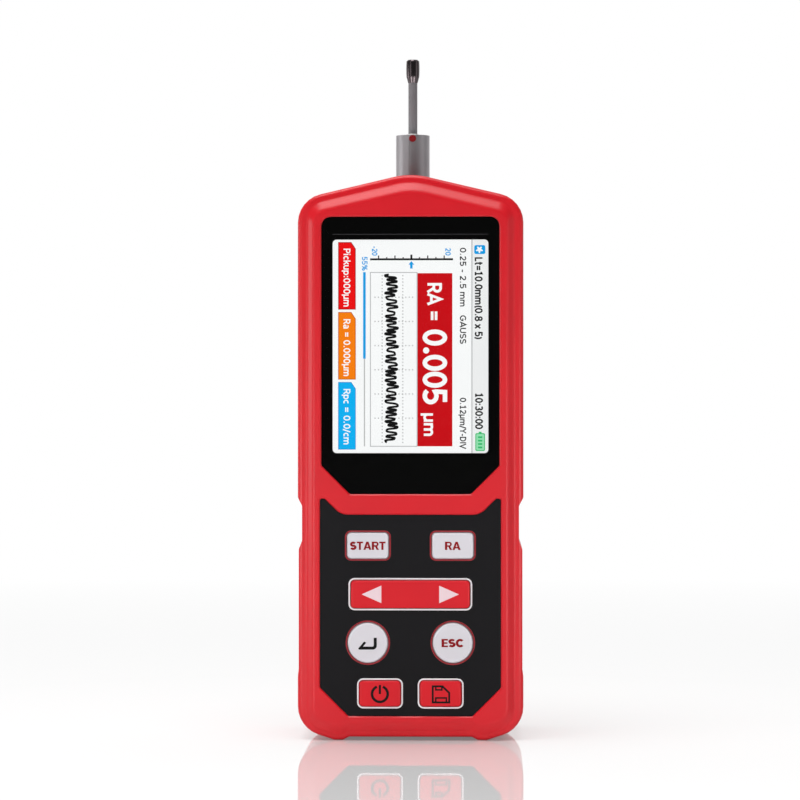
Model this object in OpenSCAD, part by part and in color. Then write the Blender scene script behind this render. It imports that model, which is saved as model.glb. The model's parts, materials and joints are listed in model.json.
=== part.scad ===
// Hand-held surface roughness tester: a two-part case with a display, a keypad and a
// motor drive that draws a stylus pickup in through the roof. It stands on its feet, with
// its front towards -Y. Sizes are in millimetres.

/* [Body] */
// Width of the raised panel beside the window and the keypad
panel_margin = 2.3; // [1.8:0.1:4]
// Distance from the window's upper edge to the ridge of the roof
roof_gap = 11.8; // [11.4:0.1:16]
// Depth from the key tops to the back
body_d = 46; // [45:0.5:54]
// Depth of the rear cover
rear_d = 25; // [24:0.5:28]
// Wall thickness of both covers
wall = 2.3; // [2:0.1:2.6]
// Thickness of the front plate
plate = 3.2; // [3:0.1:3.8]
// Slope of the roof, in degrees
roof_angle = 13.2; // [11:0.2:14]
// Radius of the ridge
ridge_r = 22; // [15:1:28]
// Radius of the upper corners
top_corner_r = 8.2; // [7:0.2:9]
// Radius of the lower corners
bottom_corner_r = 8.4; // [7:0.2:9]
// Radius of the edge round the back
back_edge_r = 4; // [2:0.5:5]
// Bevel along the joint line of the two covers
seam = 0.4; // [0.2:0.1:0.6]
// Height of the rear cover's lip inside the front cover
lip_h = 1.8; // [1.2:0.1:2.4]
// Thickness of that lip
lip_t = 1; // [0.8:0.05:1.1]
// Clearance round that lip
lip_gap = 0.15; // [0.1:0.05:0.2]

/* [Feet] */
// Distance of each foot from the side wall
foot_inset = 11.5; // [10.5:0.1:13]
// Width of each foot's flat tip
foot_w = 2.4; // [2:0.1:3]
// Slope of the lower edge outside the feet, in degrees
foot_angle = 18; // [14:1:20]
// Height of the recess between the feet
recess_h = 0.9; // [0.6:0.1:1.2]
// Length of the ramp from a foot to the recess
ramp_l = 1.8; // [1.4:0.1:2.4]

/* [Front face] */
// Drop from the raised panel to the rim round it
rim_drop = 1.8; // [1.2:0.1:2]
// Width of the rim at the sides
rim_side = 2.7; // [2.2:0.1:3]
// Width of the rim along the roof
rim_top = 2.2; // [1.8:0.1:2.6]
// Width of the rim at the bottom
rim_bottom = 1.8; // [1.6:0.1:2.2]
// Width of the slope up to the raised panel at the sides
slope_side = 1.7; // [1.2:0.1:1.9]
// Width of that slope along the roof
slope_top = 2.5; // [2:0.1:3]
// Width of that slope at the bottom
slope_bottom = 2.4; // [2:0.1:2.6]
// Share of the slope that is rounded off at each of its ends
slope_round = 0.3; // [0.1:0.05:0.45]
// Radius of the outer edge of the rim
edge_r = 1.2; // [0.8:0.1:1.5]
// Bevel round the recesses of the window and the keypad
opening_edge = 0.35; // [0.2:0.05:0.4]

/* [Side grips] */
// Depth of the finger notch's middle below the keypad's straight upper edge
notch_drop = 2.5; // [0:0.1:5]
// Length of the notch's floor
notch_l = 9.8; // [8:0.2:12]
// Depth of the notch
notch_d = 1.26; // [0.8:0.02:1.4]
// Length of the ramp at each end of the notch
notch_ramp = 2.4; // [1.6:0.1:3]
// Lower end of the shallow grip below the notch
grip_z = 17.6; // [15:0.2:24]
// Depth of that grip
grip_d = 0.3; // [0.2:0.05:0.5]

/* [Window and screen] */
// Size of the cut lower corners of both
corner_cut = 8; // [6:0.2:9]
// Height of the strip between the keypad and the window
strip_h = 5.7; // [5:0.1:8]
// Black border beside the screen
border_side = 3.15; // [2.8:0.05:4]
// Black border above the screen
border_top = 6.4; // [4:0.1:9]
// Black border below the screen
border_low = 11.5; // [9:0.1:14]
// Radius of the window's upper corners
window_r = 2.7; // [2:0.1:4]
// Thickness of the window and of the keypad sheet
sheet_t = 1.2; // [1:0.1:1.3]
// Thickness of the black border film behind the window
mask_t = 0.2; // [0.1:0.05:0.3]
// How far both sheets lie below the raised panel
face_sink = 0.4; // [0.2:0.05:0.5]
// Clearance round a sheet in its recess
sheet_gap = 0.1; // [0.05:0.05:0.2]
// Width of the screen that shows
screen_w = 43.7; // [42:0.1:50]
// Height of the screen that shows
screen_h = 59.9; // [54:0.1:70]
// Corner radius of the screen
screen_r = 1.1; // [0.5:0.1:2]
// Border of the display panel beyond the screen that shows
lcd_border = 2.6; // [2:0.1:2.8]
// Thickness of the display panel
lcd_t = 1.4; // [1:0.1:1.6]
// Thickness of the light frame behind the panel
light_t = 2.6; // [2:0.1:3]
// Thickness of the ledge between window and display
ledge_t = 0.8; // [0.6:0.1:1]
// Width of the ledge that the border film covers
ledge_lap = 1; // [0.5:0.1:1.4]

/* [Keypad] */
// How far the keypad reaches past the window on each side
pad_over = 0.4; // [0:0.05:0.6]
// Height of the keypad's lower edge
pad_z = 6.9; // [6.6:0.1:7.4]
// Height of the lowest keys' middle above the keypad's lower edge
low_margin = 6.4; // [6.2:0.1:8]
// Distance from the lowest keys up to the round keys
low_pitch = 14.2; // [13.6:0.1:16]
// Distance between the other rows of keys
row_pitch = 13.6; // [12.8:0.1:15]
// Height of the keypad above the middle of its top row
top_margin = 8.7; // [7.5:0.1:11]
// Height of the two horns above the straight upper edge
horn_h = 4.5; // [3:0.1:5]
// Width of a horn's tip
horn_w = 1.4; // [1:0.1:2]
// Distance of the outer keys from the middle
key_x = 11.9; // [11:0.1:13]
// Distance of the lowest two keys from the middle
low_key_x = 8.5; // [8.2:0.1:10]
// Width of a rectangular key
key_w = 11.6; // [10:0.1:12]
// Height of a rectangular key
key_h = 7.2; // [6.5:0.1:7.8]
// Corner radius of the rectangular keys and of the rocker
key_r = 1.1; // [0.8:0.1:1.6]
// Diameter of a round key
round_key_d = 11.2; // [10:0.1:12]
// Length of the rocker
rocker_w = 33.4; // [30:0.1:34]
// Height of the rocker
rocker_h = 7.8; // [7:0.1:8.2]
// How far the keys stand proud of the raised panel
key_proud = 0.5; // [0.3:0.05:0.7]
// Rounding of the keys' upper edges
key_edge = 0.5; // [0.3:0.05:0.6]
// Travel of a key
key_travel = 0.5; // [0.3:0.05:0.55]
// Tilt of the rocker to each side, in degrees
rocker_tilt = 2; // [1:0.1:2.1]
// Clearance round a key in the keypad sheet
key_gap = 0.2; // [0.15:0.05:0.3]
// Width of the flange that keeps a key in
flange_w = 0.8; // [0.6:0.1:0.9]
// Thickness of that flange
flange_t = 0.8; // [0.6:0.1:0.9]
// Radius of the pin that the rocker tilts on
rocker_pin_r = 0.6; // [0.5:0.05:0.7]
// Length of the rocker's pin
rocker_pin_l = 11.6; // [11:0.1:12]
// Distance of the rocker's switches from the middle
rocker_switch_x = 12; // [11:0.1:13]
// Diameter of a switch dome
dome_d = 6; // [4:0.5:7]
// Height of a switch dome
dome_h = 0.35; // [0.3:0.05:0.4]
// Radius of a key's stem
stem_r = 1.6; // [1:0.1:2]

/* [Boards and battery] */
// Thickness of the keypad board
board_t = 1; // [0.8:0.1:1.2]
// Gap from the front plate to the keypad board
board_gap = 1.4; // [1.35:0.05:1.6]
// Clearance of the keypad board and the battery's fence to the case screws' bosses
board_clear = 0.3; // [0.2:0.05:0.6]
// Height of the keypad board above the keypad's straight upper edge
board_over = 1.1; // [0.8:0.1:2]
// Height of the keypad board's lower edge
board_z = 6; // [5.8:0.1:6.4]
// Depth of the lower board pads below the middle of the round keys
board_pad_drop = 6.6; // [6.4:0.1:6.8]
// Thickness of the main board
main_t = 1.6; // [1:0.1:1.8]
// Gap from the display to the main board
main_gap = 2.4; // [2.1:0.1:2.8]
// Overlap of the two boards at their connector
board_lap = 6; // [5:0.5:6]
// Width of the connector between the two boards
connector_w = 20; // [12:0.5:24]
// Distance of that connector from the boards' edges
connector_edge = 1; // [0.5:0.1:1.5]
// Width of the largest chip
chip_w = 12; // [8:0.5:13]
// Thickness of the chips
chip_t = 1.4; // [0.8:0.1:2]
// Clearance of the main board to the walls
main_clear = 0.5; // [0.3:0.1:0.8]
// Width left free beside the battery, up to the case screws' bosses
battery_side = 0.8; // [0.6:0.1:4]
// Height of the battery
battery_h = 43; // [38:0.5:43]
// Thickness of the battery
battery_t = 11; // [8:0.5:12]
// Corner radius of the battery
battery_r = 1.5; // [0.5:0.5:3]
// Height of the battery's lower edge
battery_z = 9; // [8.6:0.2:10]
// Height of the fence round the battery
fence_h = 6; // [4:0.5:8]
// Thickness of that fence
fence_t = 1; // [0.8:0.1:1.2]
// Clearance of the battery in its fence
battery_gap = 0.3; // [0.2:0.05:0.4]
// Width of the charging socket
usb_w = 9; // [8:0.1:10]
// Height of the charging socket's opening
usb_h = 3.2; // [2.8:0.1:3.4]
// Length of the charging socket
usb_l = 7.3; // [6:0.1:9]
// Shell thickness of the charging socket
usb_wall = 0.3; // [0.2:0.05:0.4]

/* [Fasteners] */
// Distance of the upper case screws from the middle
top_screw_x = 17; // [16:0.2:18]
// Depth of the upper case screws below the ridge
top_screw_drop = 11.2; // [11:0.1:12]
// Radius of a case screw's shank
case_screw_r = 1.4; // [1.2:0.1:1.5]
// Radius of the socket in a case screw's head
key_socket_r = 1; // [0.8:0.1:1.2]
// Depth of that socket
key_socket_depth = 0.8; // [0.6:0.1:1]
// Radius of a case screw's head
case_head_r = 2.6; // [2.4:0.1:2.8]
// Thickness of a case screw's head
case_head_t = 1.4; // [1.2:0.1:1.5]
// How far a case screw's head lies below the back
head_sink = 0.7; // [0.5:0.1:0.8]
// Length of thread in the front cover
case_thread_l = 8; // [6:0.5:12]
// Radius of the bosses for the case screws
boss_r = 3; // [2.9:0.05:3.1]
// Clearance round screws in their holes
screw_gap = 0.1; // [0.05:0.01:0.15]
// Radius of a board or frame screw's shank
small_screw_r = 0.9; // [0.8:0.05:1]
// Radius of a board or frame screw's head
small_head_r = 1.7; // [1.5:0.1:1.8]
// Thickness of such a head
small_head_t = 1.2; // [1:0.1:1.4]
// Thread length of a board or frame screw
small_thread_l = 2; // [1.6:0.1:2.1]
// Radius of the pads under the boards
pad_r = 1.9; // [1.8:0.05:2]
// Radius of the thread in the stand insert
stand_r = 2.5; // [2:0.1:3]
// Outer radius of the stand insert
insert_r = 4.2; // [4:0.1:4.5]
// Length of the stand insert
insert_l = 9; // [6:0.5:10]
// Height of the stand insert
stand_z = 68; // [66:0.5:70]

/* [Pickup] */
// Distance of the pickup's axis from the back
pickup_back = 13; // [12.6:0.1:14]
// Radius of the pickup's sleeve
sleeve_r = 4.85; // [4.6:0.05:5.1]
// Length of the sleeve above the ridge
sleeve_out = 13.4; // [11:0.1:16]
// Whole length of the sleeve
sleeve_l = 36.8; // [35.8:0.1:38]
// Wall of the sleeve
sleeve_wall = 0.8; // [0.6:0.05:0.9]
// Thickness of the sleeve's front wall
sleeve_front = 2; // [2:0.1:2.4]
// Thickness of the sleeve's rear wall
sleeve_rear = 1.5; // [1:0.1:2]
// Radius of the protective tube
tube_r = 1.3; // [1.2:0.05:1.5]
// Bore radius of the tube
tube_bore = 0.9; // [0.85:0.05:1]
// Length of the tube that shows
tube_out = 15.3; // [12:0.1:18]
// Radius of the nose
nose_r = 1.95; // [1.8:0.05:2.2]
// How far the nose bulges in its middle
nose_bulge = 0.08; // [0.02:0.02:0.14]
// Length of the nose's barrel
nose_l = 4.9; // [4.5:0.1:6]
// Length of the cone behind the nose
nose_cone = 1.8; // [1.2:0.1:2.2]
// Rounding of the nose's end
nose_edge = 0.4; // [0.2:0.05:0.5]
// Radius of the ring round the tube's root
ring_r = 1.65; // [1.6:0.05:2]
// Height of that ring
ring_h = 0.5; // [0.4:0.1:0.8]
// Radius of the alignment dot
dot_r = 1; // [0.7:0.05:1.1]
// Depth of the alignment dot
dot_depth = 0.6; // [0.4:0.1:0.8]
// Distance of the stylus from the nose's end
stylus_back = 2.8; // [2.4:0.1:3]
// How far the stylus reaches past the nose
stylus_out = 0.35; // [0.2:0.05:0.4]
// Radius of the stylus arm
arm_r = 0.35; // [0.25:0.05:0.4]
// Distance of the pivot from the sleeve's front end
pivot_back = 9.3; // [8:0.1:11]
// Radius of the pivot pin
pivot_r = 0.5; // [0.4:0.05:0.6]
// Radius of the arm's hub
hub_r = 1.1; // [1:0.05:1.3]
// Width of the arm's hub
hub_w = 2; // [1.6:0.1:2.2]
// Swing of the stylus to each side, in degrees
stylus_swing = 1; // [0.5:0.1:1.2]
// Running clearance of pins and shafts, on the radius
run_gap = 0.04; // [0.02:0.01:0.06]
// Length of the arm behind the pivot
arm_rear = 17; // [15:0.5:18]
// Radius of the plug at the pickup's rear end
plug_r = 2.5; // [2.2:0.1:2.6]
// Length of the plug
plug_l = 8; // [7:0.5:9]
// Radius of a contact pin
contact_r = 0.3; // [0.25:0.05:0.35]
// Length of a contact pin
contact_l = 2; // [1.5:0.1:2.4]
// Radius of the circle that the contact pins stand on
contact_circle_r = 1.4; // [1.2:0.05:1.5]
// Width of the armature at the rear end of the arm
armature_w = 1.8; // [1.4:0.1:2]
// Length of the armature
armature_l = 4; // [3:0.1:5]
// Radius of a sensing coil
coil_r = 1.6; // [1.2:0.1:1.7]
// Thickness of a sensing coil
coil_t = 1.4; // [1:0.1:1.6]
// Air gap between armature and coil
coil_air = 0.5; // [0.4:0.05:0.6]

/* [Drive] */
// Travel of the pickup
travel = 17.5; // [15:0.5:18]
// Distance of the lead screw from the pickup's axis
screw_offset = 10; // [9:0.1:10.4]
// Radius of the lead screw
screw_r = 2; // [1.8:0.1:2.2]
// Radius of the motor's shaft and of the screw's end
shaft_r = 1.5; // [1.3:0.1:1.6]
// Half the distance between the guide rods
rod_x = 12.5; // [12:0.1:13]
// Distance of the guide rods from the pickup's axis
rod_offset = 4; // [3:0.1:5]
// Radius of a guide rod
rod_r = 2; // [1.8:0.1:2.2]
// Half the width of the drive frame
frame_x = 18; // [17.5:0.1:18.5]
// Thickness of the drive frame's back
frame_t = 2; // [1.6:0.1:2.2]
// Thickness of its upper plate
frame_top_t = 3; // [2.5:0.1:3.5]
// Thickness of its lower plate
frame_low_t = 4; // [3:0.1:4.5]
// Distance of the frame's screw pads from its edges
frame_edge = 1.4; // [1:0.1:2]
// Height of the pads under the frame
frame_pad_h = 2.2; // [2:0.1:2.6]
// Height of the carriage
carriage_h = 10; // [8:0.5:10]
// Wall of the carriage round its bushes
carriage_wall = 1.4; // [1:0.1:1.6]
// Room below the carriage at the end of its travel
carriage_room = 2.2; // [1:0.1:3]
// Wall of the pickup's socket
socket_wall = 2; // [1.6:0.1:2.1]
// Wall of the sliding bushes
bush_wall = 1.2; // [1:0.1:1.4]
// Outer radius of the nut on the lead screw
nut_r = 4; // [3.5:0.1:4.2]
// Radius of the shaft coupling
coupling_r = 3.5; // [3:0.1:4]
// Length of the shaft coupling
coupling_l = 7.5; // [6:0.5:8]
// Length of the gearbox
gearbox_l = 9; // [8:0.5:10]
// Width of the gearbox and diameter of the motor
motor_d = 12; // [10:0.5:12]
// Length of the motor
motor_l = 14; // [12:0.5:14.5]
// Clearance of the sleeve in the bush through the roof
entry_gap = 0.25; // [0.2:0.05:0.35]
// Wall of the bush through the roof
entry_wall = 1.05; // [0.9:0.05:1.2]
// Width of that bush's flange
entry_flange = 1.5; // [1:0.1:1.8]

/* [Hidden] */
$fn = 48;
corner_steps = 6;
cut = 1;

// Small radii of the outlines
toe_r = 0.8;
tightest_r = 0.4;
recess_r = 1;
cut_corner_r = 1;
horn_r = 0.6;
horn_root_r = 5;
grip_r = 1;
notch_r = 1.5;
notch_end_r = 0.5;

// Heights, from the bottom up
row_1 = pad_z + low_margin;
row_2 = row_1 + low_pitch;
row_3 = row_2 + row_pitch;
row_4 = row_3 + row_pitch;
pad_h = row_4 + top_margin - pad_z;
window_z = pad_z + pad_h + strip_h;
window_h = border_low + screen_h + border_top;
screen_z = window_z + border_low;
body_h = window_z + window_h + roof_gap;
notch_z = pad_z + pad_h - notch_drop;

// Widths
panel_w = screen_w + 2 * border_side;
body_w = panel_w + 2 * (panel_margin + slope_side + rim_side);
foot_x = body_w / 2 - foot_inset;

// Depths, from the front to the back
key_top_y = -body_d / 2;
front_y = key_top_y + key_proud;
face_y = front_y + face_sink;
seat_y = face_y + sheet_t;
window_seat_y = seat_y + mask_t;
lcd_y = window_seat_y + ledge_t;
lcd_back_y = lcd_y + lcd_t + light_t;
rim_y = front_y + rim_drop;
plate_back_y = front_y + plate;
board_y = plate_back_y + board_gap;
dome_y = board_y - dome_h;
main_y = lcd_back_y + main_gap;
back_y = body_d / 2;
inner_back_y = back_y - wall;
parting_y = back_y - rear_d;
pickup_y = back_y - pickup_back;
screw_y = pickup_y - screw_offset;
rod_y = pickup_y - rod_offset;
frame_back_y = inner_back_y - frame_pad_h;

// The lip of the rear cover in the front cover's rebate, which stops short of the notches
lip_out = wall - lip_t;
lip_stop_z = notch_z - notch_l / 2 - notch_ramp - lip_t;
lip_stop_top = notch_z + notch_l / 2 + notch_ramp + lip_t;

// Heights of the pickup and its drive, from the roof down
sleeve_top = body_h + sleeve_out;
sleeve_z = sleeve_top - sleeve_l;
tube_top = sleeve_top + tube_out;
nose_top = tube_top + nose_cone + nose_l;
tip_z = nose_top - stylus_back;
pivot_z = sleeve_top - pivot_back;
plug_z = sleeve_z - plug_l;
plug_gap = 0.3;
socket_r = plug_r + run_gap + socket_wall;
socket_z = plug_z - contact_l - plug_gap;
socket_top = sleeve_z - plug_gap;
carriage_z = socket_z - carriage_h;
coupling_z = carriage_z - travel - carriage_room - coupling_l;
frame_z = coupling_z - frame_low_t - plug_gap;
motor_top = frame_z;
frame_plate_z = socket_top + carriage_room;
frame_top = frame_plate_z + frame_top_t;
frame_front_y = screw_y - nut_r - frame_t;

// The sensing end at the rear of the stylus arm
arm_end = pivot_z - arm_rear;
armature_half = armature_w / 2;
swing_room = 0.5;
hub_gap = 0.15;
dot_edge = 0.1;
dot_proud = 0.08;
nose_end_t = 1;
slot_room = 0.3;
pin_inset = 0.5;
coil_rim = 1;
point_l = 0.5;
point_r = 0.01;
contacts_at = [for (i = [0:4]) contact_circle_r * [cos(72 * i), sin(72 * i)]];

// Case screws stand on the centres of the lower corners and below the roof
low_screw_x = body_w / 2 - bottom_corner_r;
low_screw_z = (bottom_corner_r + (low_screw_x - foot_x - foot_w / 2) * sin(foot_angle)) / cos(foot_angle);
top_screw_z = body_h - top_screw_drop;
case_screws_at = [
    [-low_screw_x, low_screw_z], [low_screw_x, low_screw_z],
    [-top_screw_x, top_screw_z], [top_screw_x, top_screw_z]
];
case_seat_y = back_y - head_sink - case_head_t;

// Display panel
lcd_w = screen_w + 2 * lcd_border;
lcd_h = screen_h + 2 * lcd_border;
lcd_r = 0.4;
screen_mid = screen_z + screen_h / 2;

// Boards, battery and the holes of the boards' screws
board_w = 2 * (low_screw_x - boss_r - board_clear);
board_h = pad_z + pad_h + board_over - board_z;
board_pad_z = row_2 - board_pad_drop;
battery_w = 2 * (low_screw_x - boss_r - battery_side);
small_hole_r = small_screw_r + screw_gap;
thread_hole_l = small_thread_l + 0.2;
pad_edge = 1;
main_w = body_w - 2 * wall - 2 * main_clear;
main_z = board_z + board_h - board_lap;
main_top = screen_z + screen_h + lcd_border;
main_pad_x = main_w / 2 - pad_r;
main_pads = [
    for (side = [-1, 1], z = [screen_z - lcd_border - pad_r - pad_edge, screen_z + screen_h - 2 * pad_r])
    [side * main_pad_x, z]
];
board_pad_x = board_w / 2 - pad_r;
board_pads = [
    for (side = [-1, 1], z = [board_pad_z, board_z + board_h - pad_r - pad_edge])
    [side * board_pad_x, z]
];
frame_pad_in = boss_r + frame_edge;
frame_pad_x = frame_x - frame_pad_in;
frame_pads = [
    for (side = [-1, 1], z = [frame_z + frame_low_t + frame_pad_in, frame_plate_z - frame_pad_in])
    [side * frame_pad_x, z]
];

// Keys
flange_gap = 0.1;
key_slack = 0.05;
hole_gap = 0.3;
stem_end_y = dome_y - key_travel - key_slack;
rocker_y = plate_back_y;
rocker_drop = rocker_switch_x * sin(rocker_tilt) + stem_r * sin(rocker_tilt) + key_slack;
switches_at = [
    [-key_x, row_4], [key_x, row_4], [-rocker_switch_x, row_3], [rocker_switch_x, row_3],
    [-key_x, row_2], [key_x, row_2], [-low_key_x, row_1], [low_key_x, row_1]
];

// Outlines

function unit(v) = v / norm(v);

// Points of an arc of radius r that rounds corner p between its neighbours a and b
function arc_at(a, p, b, r) =
    let (
        u = unit(a - p),
        v = unit(b - p),
        half = acos(u * v) / 2,
        centre = p + unit(u + v) * r / sin(half),
        from = p + u * r / tan(half) - centre,
        to = p + v * r / tan(half) - centre,
        start = atan2(from.y, from.x),
        turn = sign(cross(from, to)) * (180 - 2 * half)
    )
    [for (i = [0:corner_steps])
        let (a = start + turn * i / corner_steps)
        centre + r * [cos(a), sin(a)]];

// Outline through corners given as [x, z, radius]; a radius of 0 keeps the corner sharp
function rounded(corners) =
    let (n = len(corners), at = [for (c = corners) [c.x, c.y]])
    [for (i = [0:n - 1]) each
        corners[i].z == 0
            ? [at[i]]
            : arc_at(at[(i + n - 1) % n], at[i], at[(i + 1) % n], corners[i].z)];

// A right half's corners from bottom to top, closed by its mirror image
function mirrored(half) =
    concat(half, [for (i = [len(half) - 1:-1:0]) if (half[i].x > 0) [-half[i].x, half[i].y, half[i].z]]);

function rounded_box(w, h, r, x = 0, z = 0) = rounded([
    [x - w / 2, z - h / 2, r], [x + w / 2, z - h / 2, r],
    [x + w / 2, z + h / 2, r], [x - w / 2, z + h / 2, r]
]);

// Outline of the body, drawn in by s at the sides, t along the roof and b at the bottom
function body_outline(s = 0, t = undef, b = undef) =
    let (
        top = is_undef(t) ? s : t,
        low = is_undef(b) ? s : b,
        ramp_angle = atan(recess_h / ramp_l),
        ramp_in = (recess_h + low * (1 - 1 / cos(ramp_angle))) / tan(ramp_angle),
        half_w = body_w / 2 - s,
        toe_in = foot_x - foot_w / 2,
        toe_out = foot_x + foot_w / 2,
        toe_round = max(tightest_r, toe_r - low),
        ridge = body_h + ridge_r * (1 / cos(roof_angle) - 1) - top / cos(roof_angle)
    )
    rounded(mirrored([
        [toe_in - ramp_in, recess_h + low, recess_r + low],
        [toe_in + low * (1 / cos(ramp_angle) - 1) / tan(ramp_angle), low, toe_round],
        [toe_out - low * (1 / cos(foot_angle) - 1) / tan(foot_angle), low, toe_round],
        [half_w, (half_w - toe_out) * tan(foot_angle) + low / cos(foot_angle), bottom_corner_r - s],
        [half_w, ridge - half_w * tan(roof_angle), top_corner_r - s],
        [0, ridge, ridge_r - top]
    ]));

// Outline of the window, drawn in by a clearance
function window_outline(c = 0) =
    let (w = panel_w / 2 - c, z = window_z + c, top = window_z + window_h - c, k = corner_cut - c * 0.6)
    rounded(mirrored([[w - k, z, cut_corner_r], [w, z + k, cut_corner_r], [w, top, window_r - c]]));

// Outline of the keypad sheet, with a horn at each upper corner
function pad_outline(c = 0) =
    let (
        w = panel_w / 2 + pad_over - c,
        z = pad_z + c,
        top = pad_z + pad_h - c,
        k = corner_cut - c * 0.6,
        tip = top + horn_h,
        inner = w - horn_w + c * sqrt(2)
    )
    rounded(mirrored([
        [w - k, z, cut_corner_r], [w, z + k, cut_corner_r],
        [w, tip, horn_r], [inner, tip, horn_r], [inner - horn_h, top, horn_root_r + c]
    ]));

// Outline of one side's grip, cut into the wall at x = half the width
function grip_outline() =
    let (
        edge = body_w / 2,
        low = notch_z - notch_l / 2,
        top = notch_z + notch_l / 2,
        out = edge + cut
    )
    rounded([
        [out, grip_z - cut, 0],
        [edge, grip_z, grip_r],
        [edge - grip_d, grip_z + notch_ramp, grip_r],
        [edge - grip_d, low - notch_ramp, notch_r],
        [edge - notch_d, low, notch_r],
        [edge - notch_d, top, notch_r],
        [edge, top + notch_ramp, notch_end_r],
        [out, top + notch_ramp + cut, 0]
    ]);

// Building blocks

function ring(points, y) = [for (p = points) [p.x, y, p.y]];

// Middle of the box round a ring
function middle(points) =
    [for (k = [0:2]) let (v = [for (p = points) p[k]]) (min(v) + max(v)) / 2];

// Solid through rings of points that follow each other from the front to the back; triangles
// round a middle point close its two ends
module loft(rings) {
    n = len(rings[0]);
    last = len(rings) - 1;
    front = len(rings) * n;
    back = front + 1;
    polyhedron(
        points = concat([for (r = rings) each r], [middle(rings[0]), middle(rings[last])]),
        faces = concat(
            [for (i = [0:n - 1]) [front, (i + 1) % n, i]],
            [for (j = [0:last - 1], i = [0:n - 1])
                let (a = j * n + i, b = j * n + (i + 1) % n) each [[a, b, b + n], [a, b + n, a + n]]],
            [for (i = [0:n - 1]) [back, last * n + i, last * n + (i + 1) % n]]
        )
    );
}

// Plate with an outline in X and Z, from depth y0 back to depth y1
module slab(points, y0, y1) {
    translate([0, y1, 0]) rotate([90, 0, 0]) linear_extrude(y1 - y0) polygon(points);
}

// Round bar along Y, from depth y0 back to depth y1
module bar(x, z, r, y0, y1) {
    translate([x, y1, z]) rotate([90, 0, 0]) cylinder(r = r, h = y1 - y0);
}

// Round bar along Z in the plane x = 0 or beside it
module post(r, z0, z1, y = pickup_y, x = 0) {
    translate([x, y, z0]) cylinder(r = r, h = z1 - z0);
}

// Block between two opposite corners
module block(low, high) {
    translate(low) cube(high - low);
}

module side_grips(y0, y1) {
    slab(grip_outline(), y0, y1);
    mirror([1, 0, 0]) slab(grip_outline(), y0, y1);
}

// Screw with a round head whose seat is at depth y; the shank runs on for length l
module screw(x, z, y, r, head_r, head_t, l, back = 1) {
    bar(x, z, r, back > 0 ? y - l : y, back > 0 ? y : y + l);
    bar(x, z, head_r, back > 0 ? y : y - head_t, back > 0 ? y + head_t : y);
}

module small_screw(x, z, y, l, back = 1) {
    screw(x, z, y, small_screw_r, small_head_r, small_head_t, l, back);
}

// Case

// Steps of the slope from the rim up to the raised panel, rounded at both ends; each is the
// share of the flat rim that it takes, of the slope's width and of its height
slope_steps = 3;
slope_profile = concat(
    [for (i = [0:slope_steps])
        let (q = pow(i / slope_steps, 2), p = pow(1 - i / slope_steps, 2))
        slope_round * [p, q, q]],
    [for (i = [0:slope_steps])
        let (q = pow(i / slope_steps, 2), p = pow(1 - i / slope_steps, 2))
        [0, 1 + slope_round * (q - p), 1 - slope_round * p]]
);

function slope_inset(rim, slope, step) = rim - step[0] * (rim - edge_r) + step[1] * slope;

module front_shell() {
    round_steps = 4;
    loft(concat(
        [for (i = [len(slope_profile) - 1:-1:0])
            let (step = slope_profile[i])
            ring(
                body_outline(
                    slope_inset(rim_side, slope_side, step),
                    slope_inset(rim_top, slope_top, step),
                    slope_inset(rim_bottom, slope_bottom, step)
                ),
                rim_y - rim_drop * step[2]
            )],
        [for (i = [0:round_steps])
            let (a = 90 * i / round_steps)
            ring(body_outline(edge_r * (1 - sin(a))), rim_y + edge_r * (1 - cos(a)))],
        [ring(body_outline(), parting_y - seam), ring(body_outline(seam), parting_y)]
    ));
}

module rear_shell() {
    round_steps = 5;
    loft(concat(
        [ring(body_outline(seam), parting_y), ring(body_outline(), parting_y + seam)],
        [for (i = [0:round_steps])
            let (a = 90 * i / round_steps)
            ring(body_outline(back_edge_r * (1 - cos(a))), back_y - back_edge_r * (1 - sin(a)))]
    ));
}

// Band along the inside of the walls that reaches h in front of the joint line
module lip_band(inset, h, extra) {
    difference() {
        slab(body_outline(inset), parting_y - h, parting_y + cut);
        slab(body_outline(wall), parting_y - h - cut, parting_y + 2 * cut);
        block([-body_w, parting_y - h - cut, lip_stop_z + extra],
            [body_w, parting_y + 2 * cut, lip_stop_top - extra]);
    }
}

// Recess in the front face with a bevelled edge, from its outline and the outline of its bevel
module recess(outline, bevelled, floor_y) {
    loft([
        ring(bevelled, front_y - cut), ring(bevelled, front_y),
        ring(outline, front_y + opening_edge), ring(outline, floor_y)
    ]);
}

// Through hole of a key in the front plate, with room for its flange
module key_hole(points) {
    slab(points, seat_y - cut, plate_back_y + cut);
}

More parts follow.
